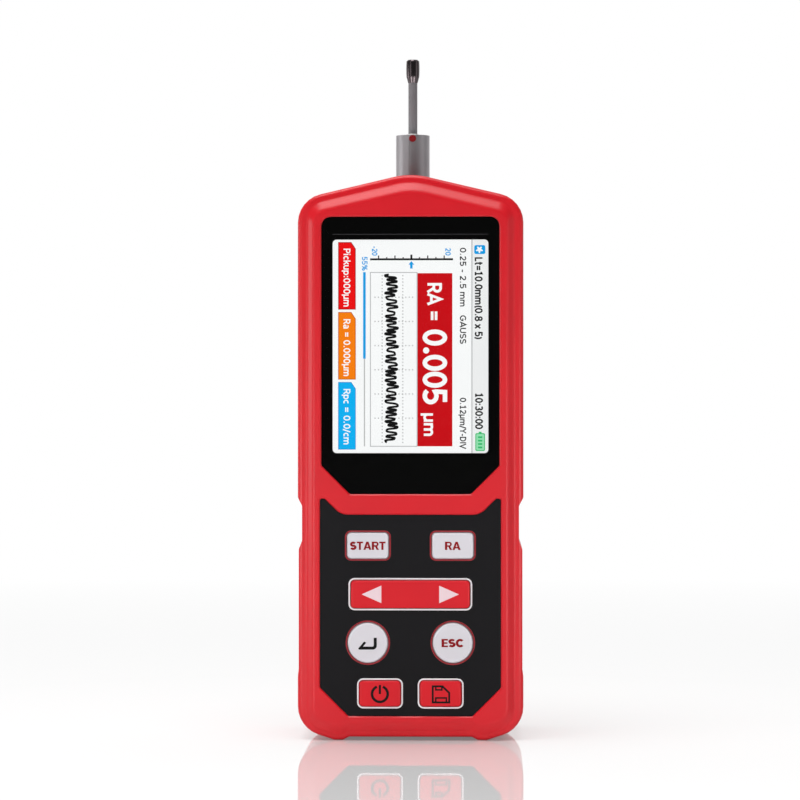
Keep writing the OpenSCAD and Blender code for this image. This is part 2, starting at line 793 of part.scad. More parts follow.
module front_cover() color("crimson") {
    screen_hole = 2 * ledge_lap;
    flange_room = 2 * (flange_w + hole_gap);
    hole_w = key_w + flange_room;
    hole_h = key_h + flange_room;
    usb_back_y = board_y + board_t + usb_h + 2 * usb_wall;
    difference() {
        union() {
            difference() {
                front_shell();
                slab(body_outline(wall), plate_back_y, parting_y + cut);
                lip_band(lip_out - lip_gap, lip_h + lip_gap, lip_gap);
            }
            for (p = case_screws_at) bar(p.x, p.y, boss_r, plate_back_y - cut, parting_y);
            for (p = main_pads) bar(p.x, p.y, pad_r, plate_back_y - cut, main_y);
            for (p = board_pads) bar(p.x, p.y, pad_r, plate_back_y - cut, board_y);
            rocker_ears();
        }
        recess(window_outline(), window_outline(-opening_edge), window_seat_y);
        slab(rounded_box(screen_w + screen_hole, screen_h + screen_hole, screen_r + ledge_lap, 0, screen_mid),
            front_y, plate_back_y + cut);
        slab(rounded_box(lcd_w + 2 * sheet_gap, lcd_h + 2 * sheet_gap, lcd_r + sheet_gap, 0, screen_mid),
            lcd_y, plate_back_y + cut);
        recess(pad_outline(), pad_outline(-opening_edge), seat_y);
        for (side = [-1, 1]) {
            key_hole(rounded_box(hole_w, hole_h, key_r + flange_w, side * key_x, row_4));
            key_hole(rounded_box(hole_w, hole_h, key_r + flange_w, side * low_key_x, row_1));
            bar(side * key_x, row_2, (round_key_d + flange_room) / 2, seat_y - cut, plate_back_y + cut);
        }
        key_hole(rounded_box(rocker_w + 2 * hole_gap, rocker_h + 2 * hole_gap, key_r, 0, row_3));
        post(rocker_pin_r, row_3 - rocker_pin_l / 2, row_3 + rocker_pin_l / 2, rocker_y);
        for (p = case_screws_at)
            bar(p.x, p.y, case_screw_r + screw_gap, parting_y - case_thread_l - cut, parting_y + cut);
        for (p = main_pads) bar(p.x, p.y, small_hole_r, main_y - thread_hole_l, main_y + cut);
        for (p = board_pads) bar(p.x, p.y, small_hole_r, board_y - thread_hole_l, board_y + cut);
        block([-usb_w / 2 - hole_gap, board_y + board_t - hole_gap, -cut],
            [usb_w / 2 + hole_gap, usb_back_y + hole_gap, recess_h + wall + cut]);
        side_grips(front_y - cut, parting_y + cut);
    }
}

// Two ears behind the front plate that hold the ends of the rocker's pin
module rocker_ears() {
    ear_w = 4 * rocker_pin_r;
    ear_back = rocker_y + 2 * rocker_pin_r;
    for (side = [-1, 1]) {
        inner = row_3 + side * (rocker_h / 2 + hole_gap);
        outer = row_3 + side * (rocker_pin_l / 2 + rocker_pin_r);
        block([-ear_w / 2, plate_back_y - cut / 2, min(inner, outer)],
            [ear_w / 2, ear_back, max(inner, outer)]);
    }
}

module rear_cover() color("crimson") {
    insert_floor = 2;
    insert_room = insert_l + insert_floor;
    fence_w = battery_w + 2 * (battery_gap + fence_t);
    fence_z = battery_z - battery_gap - fence_t;
    difference() {
        union() {
            difference() {
                rear_shell();
                slab(body_outline(wall), parting_y - cut, inner_back_y);
            }
            lip_band(lip_out, lip_h, 0);
            for (p = case_screws_at) bar(p.x, p.y, boss_r, parting_y, inner_back_y + cut);
            for (p = frame_pads) bar(p.x, p.y, boss_r, frame_back_y, inner_back_y + cut);
            bar(0, stand_z, insert_r + wall, back_y - insert_room, inner_back_y + cut);
            difference() {
                block([-fence_w / 2, inner_back_y - fence_h, fence_z],
                    [fence_w / 2, inner_back_y + cut, fence_z + battery_h + 2 * (battery_gap + fence_t)]);
                block([-fence_w / 2 + fence_t, inner_back_y - fence_h - cut, fence_z + fence_t],
                    [fence_w / 2 - fence_t, inner_back_y, fence_z + fence_t + battery_h + 2 * battery_gap]);
            }
        }
        for (p = case_screws_at) {
            bar(p.x, p.y, case_screw_r + screw_gap, parting_y - cut, back_y);
            bar(p.x, p.y, case_head_r + 2 * screw_gap, case_seat_y, back_y + cut);
        }
        for (p = frame_pads)
            bar(p.x, p.y, small_hole_r, frame_back_y - cut, frame_back_y + thread_hole_l);
        bar(0, stand_z, insert_r, back_y - insert_l, back_y + cut);
        bar(0, stand_z, stand_r, back_y - insert_l - cut, back_y);
        post(sleeve_r + entry_gap + entry_wall, frame_top + cut, body_h + cut);
        side_grips(parting_y - cut, back_y + cut);
    }
}

module case_screws() color("dimgray") {
    shank_l = case_seat_y - parting_y + case_thread_l;
    head_y = case_seat_y + case_head_t;
    for (p = case_screws_at) difference() {
        screw(p.x, p.y, case_seat_y, case_screw_r, case_head_r, case_head_t, shank_l);
        bar(p.x, p.y, key_socket_r, head_y - key_socket_depth, head_y + cut, $fn = 6);
    }
}

// Flanged bush that guides the pickup through the roof
module entry_bush() color("black") {
    bore = sleeve_r + entry_gap;
    outer = bore + entry_wall;
    flange_r = outer + entry_flange;
    ridge_z = body_h + ridge_r * (1 / cos(roof_angle) - 1);
    flange_top = ridge_z - (wall + sheet_gap) / cos(roof_angle) - flange_r * tan(roof_angle);
    top = flange_top + wall;
    difference() {
        union() {
            post(outer, flange_top - entry_wall, top);
            post(flange_r, flange_top - entry_wall, flange_top);
        }
        post(bore, flange_top - entry_wall - cut, top + cut);
    }
}

module stand_insert() color("goldenrod") difference() {
    bar(0, stand_z, insert_r, back_y - insert_l, back_y);
    bar(0, stand_z, stand_r, back_y - insert_l - cut, back_y + cut);
}

// Display

module display_window() color("lightcyan", 0.35) slab(window_outline(sheet_gap), face_y, seat_y);

module window_mask() color("black") difference() {
    slab(window_outline(sheet_gap), seat_y, window_seat_y);
    slab(rounded_box(screen_w, screen_h, screen_r, 0, screen_mid), seat_y - cut, window_seat_y + cut);
}

module lcd_panel() color("white")
    slab(rounded_box(lcd_w, lcd_h, lcd_r, 0, screen_mid), lcd_y, lcd_y + lcd_t);

module lcd_light_frame() color("silver")
    slab(rounded_box(lcd_w, lcd_h, lcd_r, 0, screen_mid), lcd_y + lcd_t, lcd_back_y);

// Keypad

module keypad_sheet() color("black") difference() {
    slab(pad_outline(sheet_gap), face_y, seat_y);
    for (side = [-1, 1]) {
        key_hole_in_sheet(key_w, key_h, side * key_x, row_4);
        key_hole_in_sheet(key_w, key_h, side * low_key_x, row_1);
        bar(side * key_x, row_2, round_key_d / 2 + key_gap, face_y - cut, seat_y + cut);
    }
    key_hole_in_sheet(rocker_w, rocker_h, 0, row_3);
}

module key_hole_in_sheet(w, h, x, z) {
    slab(rounded_box(w + 2 * key_gap, h + 2 * key_gap, key_r + key_gap, x, z), face_y - cut, seat_y + cut);
}

// Rectangular cap with a rounded upper edge, from its top back to depth y
module cap(w, h, x, z, y) {
    steps = 3;
    loft(concat(
        [for (i = [0:steps])
            let (a = 90 * i / steps, d = key_edge * (1 - sin(a)))
            ring(rounded_box(w - 2 * d, h - 2 * d, key_r - d, x, z), key_top_y + key_edge * (1 - cos(a)))],
        [ring(rounded_box(w, h, key_r, x, z), y)]
    ));
}

module key_stem(x, z, end_y) {
    bar(x, z, stem_r, seat_y, end_y);
}

module rectangular_key(x, z) {
    flange_y = seat_y + flange_gap;
    cap(key_w, key_h, x, z, flange_y + flange_t);
    slab(rounded_box(key_w + 2 * flange_w, key_h + 2 * flange_w, key_r + flange_w, x, z),
        flange_y, flange_y + flange_t);
    key_stem(x, z, stem_end_y);
}

module round_key(x, z) {
    r = round_key_d / 2;
    steps = 3;
    flange_y = seat_y + flange_gap;
    translate([x, key_top_y, z]) rotate([-90, 0, 0]) rotate_extrude() polygon(concat(
        [[0, 0]],
        [for (i = [0:steps]) let (a = 90 * i / steps) [r - key_edge * (1 - sin(a)), key_edge * (1 - cos(a))]],
        [
            [r, flange_y - key_top_y], [r + flange_w, flange_y - key_top_y],
            [r + flange_w, flange_y + flange_t - key_top_y], [0, flange_y + flange_t - key_top_y]
        ]
    ));
    key_stem(x, z, stem_end_y);
}

module start_key() color("gainsboro") rectangular_key(-key_x, row_4);
module parameter_key() color("gainsboro") rectangular_key(key_x, row_4);
module enter_key() color("gainsboro") round_key(-key_x, row_2);
module escape_key() color("gainsboro") round_key(key_x, row_2);
module power_key() color("crimson") rectangular_key(-low_key_x, row_1);
module save_key() color("crimson") rectangular_key(low_key_x, row_1);

// Rocker with a hub along Z for its pin and a stem over each switch
module rocker_key() color("crimson") {
    hub_wall = 0.7;
    hub = rocker_pin_r + hub_wall;
    cap_back_y = rocker_y - rocker_pin_r;
    difference() {
        union() {
            cap(rocker_w, rocker_h, 0, row_3, cap_back_y);
            post(hub, row_3 - rocker_h / 2, row_3 + rocker_h / 2, rocker_y);
            for (side = [-1, 1]) bar(side * rocker_switch_x, row_3, stem_r, seat_y, dome_y - rocker_drop);
        }
        post(rocker_pin_r + run_gap, row_3 - rocker_pin_l, row_3 + rocker_pin_l, rocker_y);
    }
}

module rocker_pin() color("silver")
    post(rocker_pin_r, row_3 - rocker_pin_l / 2, row_3 + rocker_pin_l / 2, rocker_y);

// Eight snap domes, each a flat-topped cone of thin sheet
module switch_domes() color("silver") {
    for (p = switches_at)
        translate([p.x, board_y, p.y]) rotate([90, 0, 0]) cylinder(r1 = dome_d / 2, r2 = stem_r, h = dome_h);
}

module keypad_board() color("darkgreen") difference() {
    block([-board_w / 2, board_y, board_z], [board_w / 2, board_y + board_t, board_z + board_h]);
    for (p = board_pads) bar(p.x, p.y, small_hole_r, board_y - cut, board_y + board_t + cut);
}

module board_screws() color("silver") {
    for (p = board_pads)
        small_screw(p.x, p.y, board_y + board_t, board_t + small_thread_l);
    for (p = main_pads)
        small_screw(p.x, p.y, main_y + main_t, main_t + small_thread_l);
}

module main_board() color("darkgreen") difference() {
    block([-main_w / 2, main_y, main_z], [main_w / 2, main_y + main_t, main_top]);
    for (p = main_pads) bar(p.x, p.y, small_hole_r, main_y - cut, main_y + main_t + cut);
}

// Packages soldered to the back of the main board
module board_chips() color("black") {
    back = main_y + main_t;
    mid = (main_z + main_top) / 2;
    half = chip_w / 2;
    outer = 1.8 * chip_w;
    block([-half, back, mid + half], [half, back + chip_t, mid + half + chip_w]);
    block([chip_w, back, mid - half], [outer, back + chip_t, mid + half]);
    block([-outer, back, mid - half], [-chip_w, back + chip_t, mid + half]);
}

module board_connector() color("black")
    block([-connector_w / 2, board_y + board_t, main_z + connector_edge],
        [connector_w / 2, main_y, board_z + board_h - connector_edge]);

module battery_pack() color("royalblue")
    slab(rounded_box(battery_w, battery_h, battery_r, 0, battery_z + battery_h / 2),
        inner_back_y - battery_t, inner_back_y);

// Open shell with a contact tongue, its mouth at the bottom wall
module charging_socket() color("silver") {
    y0 = board_y + board_t;
    y1 = y0 + usb_h + 2 * usb_wall;
    z0 = recess_h + wall;
    mid = (y0 + y1) / 2;
    end_wall = 3 * usb_wall;
    tongue_w = usb_w - 8 * usb_wall;
    difference() {
        block([-usb_w / 2, y0, z0], [usb_w / 2, y1, z0 + usb_l]);
        block([-usb_w / 2 + usb_wall, y0 + usb_wall, z0 - cut],
            [usb_w / 2 - usb_wall, y1 - usb_wall, z0 + usb_l - end_wall]);
    }
    block([-tongue_w / 2, mid - usb_wall, z0 + end_wall],
        [tongue_w / 2, mid + usb_wall, z0 + usb_l - end_wall / 2]);
}

// Drive

module drive_frame() color("silver") difference() {
    union() {
        block([-frame_x, frame_back_y - frame_t, frame_z], [frame_x, frame_back_y, frame_top]);
        block([-frame_x, frame_front_y, frame_z], [frame_x, frame_back_y, frame_z + frame_low_t]);
        block([-frame_x, frame_front_y, frame_plate_z], [frame_x, frame_back_y, frame_top]);
    }
    for (side = [-1, 1]) post(rod_r, frame_z - cut, frame_top + cut, rod_y, side * rod_x);
    post(shaft_r + bush_wall, frame_z - cut, frame_top + cut, screw_y);
    post(sleeve_r + 2 * entry_gap, frame_plate_z - cut, frame_top + cut);
    for (p = frame_pads) bar(p.x, p.y, small_hole_r, frame_back_y - frame_t - cut, frame_back_y + cut);
}

module frame_screws() color("silver") {
    for (p = frame_pads)
        small_screw(p.x, p.y, frame_back_y - frame_t, frame_t + small_thread_l, -1);
}

module guide_rods() color("silver") {
    for (side = [-1, 1]) post(rod_r, frame_z, frame_top, rod_y, side * rod_x);
}

module screw_bushes() color("goldenrod") {
    for (z = [frame_z, frame_plate_z])
        let (h = z == frame_z ? frame_low_t : frame_top_t) difference() {
            post(shaft_r + bush_wall, z, z + h, screw_y);
            post(shaft_r + run_gap, z - cut, z + h + cut, screw_y);
        }
}

module gearbox() color("goldenrod") difference() {
    block([-motor_d / 2, screw_y - motor_d / 2, motor_top - gearbox_l],
        [motor_d / 2, screw_y + motor_d / 2, motor_top]);
    post(shaft_r + run_gap, motor_top - gearbox_l / 2, motor_top + cut, screw_y);
}

module motor() color("silver")
    post(motor_d / 2, motor_top - gearbox_l - motor_l, motor_top - gearbox_l, screw_y);

module motor_shaft() color("silver")
    post(shaft_r, motor_top - gearbox_l / 2 + run_gap, coupling_z + coupling_l / 2, screw_y);

module shaft_coupling() color("dimgray") difference() {
    post(coupling_r, coupling_z, coupling_z + coupling_l, screw_y);
    post(shaft_r, coupling_z - cut, coupling_z + coupling_l + cut, screw_y);
}

// Lead screw with a turned-down end in the coupling and another in the upper bush
module lead_screw() color("silver") {
    screw_z = coupling_z + coupling_l;
    post(shaft_r, coupling_z + coupling_l / 2, screw_z + cut, screw_y);
    post(screw_r, screw_z, frame_plate_z - plug_gap, screw_y);
    post(shaft_r, frame_plate_z - plug_gap - cut, frame_top, screw_y);
}

module carriage() color("slategray") difference() {
    side_x = rod_x + rod_r + bush_wall + carriage_wall;
    front = screw_y - nut_r - carriage_wall;
    top = carriage_z + carriage_h;
    block([-side_x, front, carriage_z], [side_x, pickup_y + socket_r, top]);
    for (side = [-1, 1]) post(rod_r + bush_wall, carriage_z - cut, top + cut, rod_y, side * rod_x);
    post(nut_r, carriage_z - cut, top + cut, screw_y);
}

module slide_bushes() color("goldenrod") {
    for (side = [-1, 1]) difference() {
        post(rod_r + bush_wall, carriage_z, carriage_z + carriage_h, rod_y, side * rod_x);
        post(rod_r + run_gap, carriage_z - cut, carriage_z + carriage_h + cut, rod_y, side * rod_x);
    }
}

module drive_nut() color("goldenrod") difference() {
    post(nut_r, carriage_z, carriage_z + carriage_h, screw_y);
    post(screw_r + run_gap, carriage_z - cut, carriage_z + carriage_h + cut, screw_y);
}

module pickup_socket() color("dimgray") difference() {
    post(socket_r, socket_z, socket_top);
    post(plug_r + run_gap, plug_z - plug_gap, socket_top + cut);
    for (c = contacts_at) post(contact_r + run_gap, socket_z + plug_gap / 2, plug_z, pickup_y + c.y, c.x);
}

// Pickup

module pickup_sleeve() color("gray") difference() {
    bore = sleeve_r - sleeve_wall;
    post(sleeve_r, sleeve_z, sleeve_top);
    post(bore, sleeve_z + sleeve_rear, sleeve_top - sleeve_front);
    post(tube_r, sleeve_top - sleeve_front - cut, sleeve_top + cut);
    post(plug_r, sleeve_z - cut, sleeve_z + sleeve_rear + cut);
    dot_pocket();
}

// Pocket of the alignment dot in the front of the sleeve
module dot_pocket() {
    bar(0, sleeve_top - dot_r - dot_edge, dot_r, pickup_y - sleeve_r - cut, pickup_y - sleeve_r + dot_depth);
}

module alignment_dot() color("darkred") intersection() {
    dot_pocket();
    post(sleeve_r + dot_proud, sleeve_z, sleeve_top);
}

module sheath_tube() color("gray") difference() {
    post(tube_r, sleeve_top - sleeve_front, tube_top + nose_cone);
    post(tube_bore, sleeve_top - sleeve_front - cut, tube_top + nose_cone + cut);
}

module root_ring() color("whitesmoke") difference() {
    post(ring_r, sleeve_top, sleeve_top + ring_h);
    post(tube_r, sleeve_top - cut, sleeve_top + ring_h + cut);
}

// Barrel-shaped nose with a slot at its back for the stylus; its surface is the skid
module skid_nose() color("gray") {
    barrel_z = tube_top + nose_cone;
    bulge_steps = 4;
    slot_w = 2 * arm_r + slot_room;
    difference() {
        translate([0, pickup_y, 0]) rotate_extrude() polygon(concat(
            [[0, tube_top], [tube_r + nose_bulge, tube_top]],
            [for (i = [0:bulge_steps])
                let (f = i / bulge_steps)
                [nose_r - nose_bulge * (1 - 4 * f * (1 - f)), barrel_z + f * (nose_l - nose_edge)]],
            [[nose_r - nose_bulge - nose_edge, nose_top], [0, nose_top]]
        ));
        post(tube_r, tube_top - cut, barrel_z);
        post(tube_bore, barrel_z - cut, nose_top - nose_end_t);
        block([-slot_w / 2, pickup_y, tip_z - slot_w], [slot_w / 2, pickup_y + nose_r + cut, tip_z + slot_w]);
    }
}

// Block in the sleeve that holds the pivot pin, slotted for the arm
module pivot_block() color("goldenrod") difference() {
    half_h = hub_r + bush_wall;
    post(sleeve_r - sleeve_wall, pivot_z - half_h, pivot_z + half_h);
    block([-hub_w / 2 - hub_gap, pickup_y - hub_r - swing_room, pivot_z - half_h - cut],
        [hub_w / 2 + hub_gap, pickup_y + hub_r + swing_room, pivot_z + half_h + cut]);
    pivot_bar(pivot_r, sleeve_r);
}

module pivot_bar(r, half_l) {
    translate([-half_l, pickup_y, pivot_z]) rotate([0, 90, 0]) cylinder(r = r, h = 2 * half_l);
}

module pivot_pin() color("silver") pivot_bar(pivot_r, sleeve_r - sleeve_wall - pin_inset);

module coil_carrier() color("ivory") difference() {
    half_h = coil_r + coil_rim;
    air = armature_half + coil_air;
    post(sleeve_r - sleeve_wall, arm_end - half_h, arm_end + half_h);
    block([-armature_half - swing_room, pickup_y - air, arm_end - half_h - cut],
        [armature_half + swing_room, pickup_y + air, arm_end + half_h + cut]);
    coils(coil_r);
}

// One coil on each side of the armature
module coils(r) {
    near = armature_half + coil_air;
    bar(0, arm_end, r, pickup_y + near, pickup_y + near + coil_t);
    bar(0, arm_end, r, pickup_y - near - coil_t, pickup_y - near);
}

module sensor_coils() color("chocolate") coils(coil_r);

module pickup_plug() color("black") post(plug_r, plug_z, sleeve_z + sleeve_rear);

module contact_pins() color("gold") {
    for (c = contacts_at) post(contact_r, plug_z - contact_l, plug_z, pickup_y + c.y, c.x);
}

// Stylus

module stylus_arm() color("silver") difference() {
    union() {
        post(arm_r, arm_end + armature_l / 2, tip_z + 2 * arm_r);
        translate([-hub_w / 2, pickup_y, pivot_z]) rotate([0, 90, 0]) cylinder(r = hub_r, h = hub_w);
    }
    pivot_bar(pivot_r + run_gap, sleeve_r);
    bar(0, tip_z, arm_r / 2, pickup_y - cut, pickup_y + cut);
}

// Needle through the arm that ends in a cone
module stylus_tip() color("darkslategray") {
    shank_end = pickup_y + nose_r + stylus_out - point_l;
    bar(0, tip_z, arm_r / 2, pickup_y - arm_r, shank_end);
    translate([0, shank_end, tip_z]) rotate([-90, 0, 0]) cylinder(r1 = arm_r / 2, r2 = point_r, h = point_l);
}

module armature() color("dimgray")
    block([-armature_half, pickup_y - armature_half, arm_end - armature_l / 2],
        [armature_half, pickup_y + armature_half, arm_end + armature_l / 2]);

front_cover();
rear_cover();
case_screws();
entry_bush();
stand_insert();
display_window();
window_mask();
lcd_panel();
lcd_light_frame();
keypad_sheet();
start_key();
parameter_key();
rocker_key();
rocker_pin();
enter_key();
escape_key();
power_key();
save_key();
switch_domes();
keypad_board();
board_screws();
main_board();
board_chips();
board_connector();
battery_pack();
charging_socket();
drive_frame();
frame_screws();
guide_rods();
screw_bushes();
gearbox();
motor();
motor_shaft();
shaft_coupling();
lead_screw();
carriage();
slide_bushes();
drive_nut();
pickup_socket();
pickup_sleeve();
sheath_tube();
skid_nose();
root_ring();
alignment_dot();
pivot_block();
pivot_pin();
coil_carrier();
sensor_coils();
pickup_plug();
contact_pins();
stylus_arm();
stylus_tip();
armature();
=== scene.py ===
"""Looks of a hand-held surface roughness tester: finishes, print, screen picture, light and camera."""
import json
import math

import bmesh
import bpy
from mathutils import Matrix, Vector
from mathutils.geometry import tessellate_polygon


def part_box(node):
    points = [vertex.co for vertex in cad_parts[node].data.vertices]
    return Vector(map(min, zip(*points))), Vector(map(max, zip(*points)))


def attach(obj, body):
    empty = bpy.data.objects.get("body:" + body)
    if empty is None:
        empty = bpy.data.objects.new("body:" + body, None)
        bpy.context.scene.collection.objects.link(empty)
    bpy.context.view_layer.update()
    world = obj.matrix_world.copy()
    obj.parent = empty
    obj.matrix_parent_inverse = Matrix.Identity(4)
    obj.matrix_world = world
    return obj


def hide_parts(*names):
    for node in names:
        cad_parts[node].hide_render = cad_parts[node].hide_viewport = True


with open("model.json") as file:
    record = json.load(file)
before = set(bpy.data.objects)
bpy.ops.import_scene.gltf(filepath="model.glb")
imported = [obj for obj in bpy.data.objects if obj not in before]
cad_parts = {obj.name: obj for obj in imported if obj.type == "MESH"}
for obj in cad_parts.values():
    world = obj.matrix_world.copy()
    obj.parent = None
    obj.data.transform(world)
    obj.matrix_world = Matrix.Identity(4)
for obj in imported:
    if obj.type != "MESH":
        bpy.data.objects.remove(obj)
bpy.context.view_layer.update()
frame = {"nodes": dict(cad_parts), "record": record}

MM = 0.001
PRINT_T = 0.02 * MM
GRAIN_DEPTH = 0.02 * MM
MERGE_DISTANCE = 0.001 * MM


# Colours and finishes


def linear(red, green, blue):
    """Linear colour of an sRGB colour given in 0 to 255."""
    parts = [c / 255 for c in (red, green, blue)]
    parts = [c / 12.92 if c <= 0.04045 else ((c + 0.055) / 1.055) ** 2.4 for c in parts]
    return (*parts, 1.0)


def shade(colour, factor):
    """Colour made darker or lighter by a factor."""
    return tuple(min(1.0, c * factor) for c in colour[:3]) + (1.0,)


def link_noise(tree, scale, detail=2.0, stretch=(1, 1, 1)):
    """Noise over the object's own coordinates, in features per metre."""
    coords = tree.nodes.new("ShaderNodeTexCoord")
    mapping = tree.nodes.new("ShaderNodeMapping")
    mapping.inputs["Scale"].default_value = stretch
    noise = tree.nodes.new("ShaderNodeTexNoise")
    noise.inputs["Scale"].default_value = scale
    noise.inputs["Detail"].default_value = detail
    tree.links.new(coords.outputs["Object"], mapping.inputs["Vector"])
    tree.links.new(mapping.outputs["Vector"], noise.inputs["Vector"])
    return noise.outputs["Fac"]


def link_range(tree, value, low, high, start=0.3, end=0.7):
    """Goes from low to high as a value, such as noise, goes from start to end."""
    spread = tree.nodes.new("ShaderNodeMapRange")
    spread.inputs["From Min"].default_value = start
    spread.inputs["From Max"].default_value = end
    spread.inputs["To Min"].default_value = low
    spread.inputs["To Max"].default_value = high
    tree.links.new(value, spread.inputs["Value"])
    return spread.outputs["Result"]


def link_mix(tree, factor, first, second):
    """Colour that goes from first to second with factor."""
    mix = tree.nodes.new("ShaderNodeMix")
    mix.data_type = "RGBA"
    mix.inputs["A"].default_value = first
    mix.inputs["B"].default_value = second
    tree.links.new(factor, mix.inputs["Factor"])
    return mix.outputs["Result"]


def link_math(tree, operation, first, second):
    """Result of an operation on two values."""
    step = tree.nodes.new("ShaderNodeMath")
    step.operation = operation
    tree.links.new(first, step.inputs[0])
    tree.links.new(second, step.inputs[1])
    return step.outputs["Value"]


def finish(name, colour, roughness, mottle=0.05, mottle_scale=60, rough_spread=0.05,
           grain=0.0, grain_scale=3000, stretch=(1, 1, 1), **sockets):
    """Principled material with faint mottling, uneven gloss and a fine grain."""
    material = bpy.data.materials.new(name)
    material.use_nodes = True
    tree = material.node_tree
    shader = tree.nodes["Principled BSDF"]
    for socket, value in sockets.items():
        shader.inputs[socket.replace("_", " ")].default_value = value
    patches = link_range(tree, link_noise(tree, mottle_scale), 0, 1)
    tone = link_mix(tree, patches, shade(colour, 1 - mottle), shade(colour, 1 + mottle))
    tree.links.new(tone, shader.inputs["Base Color"])
    fine = link_noise(tree, grain_scale, 3, stretch)
    gloss = link_range(tree, fine, roughness - rough_spread, roughness + rough_spread)
    tree.links.new(gloss, shader.inputs["Roughness"])
    if grain:
        bump = tree.nodes.new("ShaderNodeBump")
        bump.inputs["Strength"].default_value = grain
        bump.inputs["Distance"].default_value = GRAIN_DEPTH
        tree.links.new(fine, bump.inputs["Height"])
        tree.links.new(bump.outputs["Normal"], shader.inputs["Normal"])
    return material


def glow(name, colour):
    """Lit screen colour with the faint unevenness of a backlight."""
    material = bpy.data.materials.new(name)
    material.use_nodes = True
    tree = material.node_tree
    shader = tree.nodes["Principled BSDF"]
    shader.inputs["Base Color"].default_value = shade(colour, 0.05)
    shader.inputs["Roughness"].default_value = 0.3
    shader.inputs["Specular IOR Level"].default_value = 0.1
    shader.inputs["Emission Strength"].default_value = 1.0
    patches = link_range(tree, link_noise(tree, 25), 0, 1)
    tone = link_mix(tree, patches, shade(colour, 0.985), colour)
    tree.links.new(tone, shader.inputs["Emission Color"])
    return material


# Stretch of the grain on turned metal, which runs round the pickup
TURNED = (20, 20, 900)

RED_CASE = finish("red_case", linear(210, 18, 32), 0.36, 0.03, grain=0.25, grain_scale=2600,
                  Specular_IOR_Level=0.42)
RED_KEY = finish("red_key", linear(208, 18, 32), 0.42, 0.04, grain=0.3, grain_scale=3200,
                 Specular_IOR_Level=0.3)
WHITE_KEY = finish("white_key", linear(212, 209, 215), 0.4, 0.02, grain=0.25, grain_scale=3200)
BLACK_SHEET = finish("black_sheet", linear(14, 13, 16), 0.5, 0.08, grain=0.5, grain_scale=3800,
                     Specular_IOR_Level=0.15)
BLACK_MASK = finish("black_mask", linear(14, 13, 16), 0.3, 0.06, rough_spread=0.01,
                    Specular_IOR_Level=0.2)
BLACK_PLASTIC = finish("black_plastic", linear(26, 26, 28), 0.5, 0.08, grain=0.4)
WHITE_PLASTIC = finish("white_plastic", linear(232, 231, 226), 0.45, 0.03, grain=0.2)
PRINT_WHITE = finish("print_white", linear(235, 233, 236), 0.5, 0.03)
PRINT_PINK = finish("print_pink", linear(232, 206, 212), 0.5, 0.03)
PRINT_DARK_RED = finish("print_dark_red", linear(150, 22, 34), 0.5, 0.05)
PRINT_LETTER = finish("print_letter", linear(136, 6, 16), 0.5, 0.05, Specular_IOR_Level=0.2)
PRINT_BLACK = finish("print_black", linear(12, 10, 12), 0.5, 0.08, Specular_IOR_Level=0.15)
# Grey of the thin line painted on the window as the highlight of its bevelled upper edge
PAINTED_EDGE_GREY = finish("painted_highlight_grey", linear(70, 70, 74), 0.5, 0.05)
SATIN_METAL = finish("satin_metal", linear(168, 165, 168), 0.42, 0.04, 200, 0.06, 0.15, 120, TURNED,
                     Metallic=1.0, Anisotropic=0.5)
TUBE_METAL = finish("tube_metal", linear(142, 139, 142), 0.55, 0.04, 200, 0.05, 0.1, 150, TURNED,
                    Metallic=1.0)
NOSE_METAL = finish("nose_metal", linear(86, 78, 80), 0.2, 0.05, 200, 0.04, 0.05, 150, TURNED,
                    Metallic=1.0)
POLISHED = finish("polished_steel", linear(190, 190, 193), 0.12, 0.03, 200, 0.03, Metallic=1.0)
STEEL = finish("steel", linear(176, 176, 180), 0.3, 0.05, 200, 0.06, 0.1, Metallic=1.0)
BLACK_STEEL = finish("black_steel", linear(58, 57, 60), 0.35, 0.06, 200, 0.06, 0.1, Metallic=1.0)
ALLOY = finish("alloy", linear(196, 197, 200), 0.36, 0.04, 120, 0.06, 0.2, Metallic=1.0)
BRASS = finish("brass", linear(206, 168, 92), 0.28, 0.05, 200, 0.05, 0.1, Metallic=1.0)
COPPER = finish("copper", linear(190, 112, 70), 0.32, 0.06, 900, 0.05, 0.2, Metallic=1.0)
RED_DOT = finish("red_dot", linear(128, 14, 20), 0.3, 0.05)
BOARD_GREEN = finish("board_green", linear(18, 92, 52), 0.4, 0.08, 300, grain=0.2)
BATTERY_BLUE = finish("battery_blue", linear(44, 78, 150), 0.35, 0.05, 80, grain=0.2)
DIAMOND = finish("diamond", linear(60, 62, 70), 0.1, 0.05)
CLEAR = finish("clear_window", linear(250, 252, 252), 0.03, 0.01, rough_spread=0.002,
               Transmission_Weight=1.0, IOR=1.35, Specular_IOR_Level=0.3)

SLOT_FINISH = {
    "case_red": RED_CASE, "key_red": RED_KEY, "key_white": WHITE_KEY, "sheet_black": BLACK_SHEET,
    "mask_black": BLACK_MASK, "window_clear": CLEAR, "plain_black": BLACK_PLASTIC,
    "plain_white": WHITE_PLASTIC, "dot_red": RED_DOT, "board_green": BOARD_GREEN,
    "battery_blue": BATTERY_BLUE, "steel": STEEL, "black_steel": BLACK_STEEL,
    "pickup_metal": SATIN_METAL, "bright_steel": POLISHED, "alloy": ALLOY, "brass": BRASS,
    "copper": COPPER, "diamond": DIAMOND, "screen": WHITE_PLASTIC,
}
BODY_OF = {node: body for body, nodes in frame["record"]["behaviour"]["bodies"].items()
           for node in nodes}
SLOT_OF = {part["node"]: part["material_slot"] for part in frame["record"]["subparts"]}


# Mesh helpers


def add_object(name, mesh, material, body):
    """Puts a mesh into the scene as a piece that rides on a body."""
    piece = bpy.data.objects.new(name, mesh)
    bpy.context.collection.objects.link(piece)
    mesh.materials.clear()
    mesh.materials.append(material)
    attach(piece, body)
    return piece


def middle(node):
    """Middle of the front of a node's box."""
    low, high = (Vector(corner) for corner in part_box(node))
    centre = (low + high) / 2
    return centre.x, low.y, centre.z


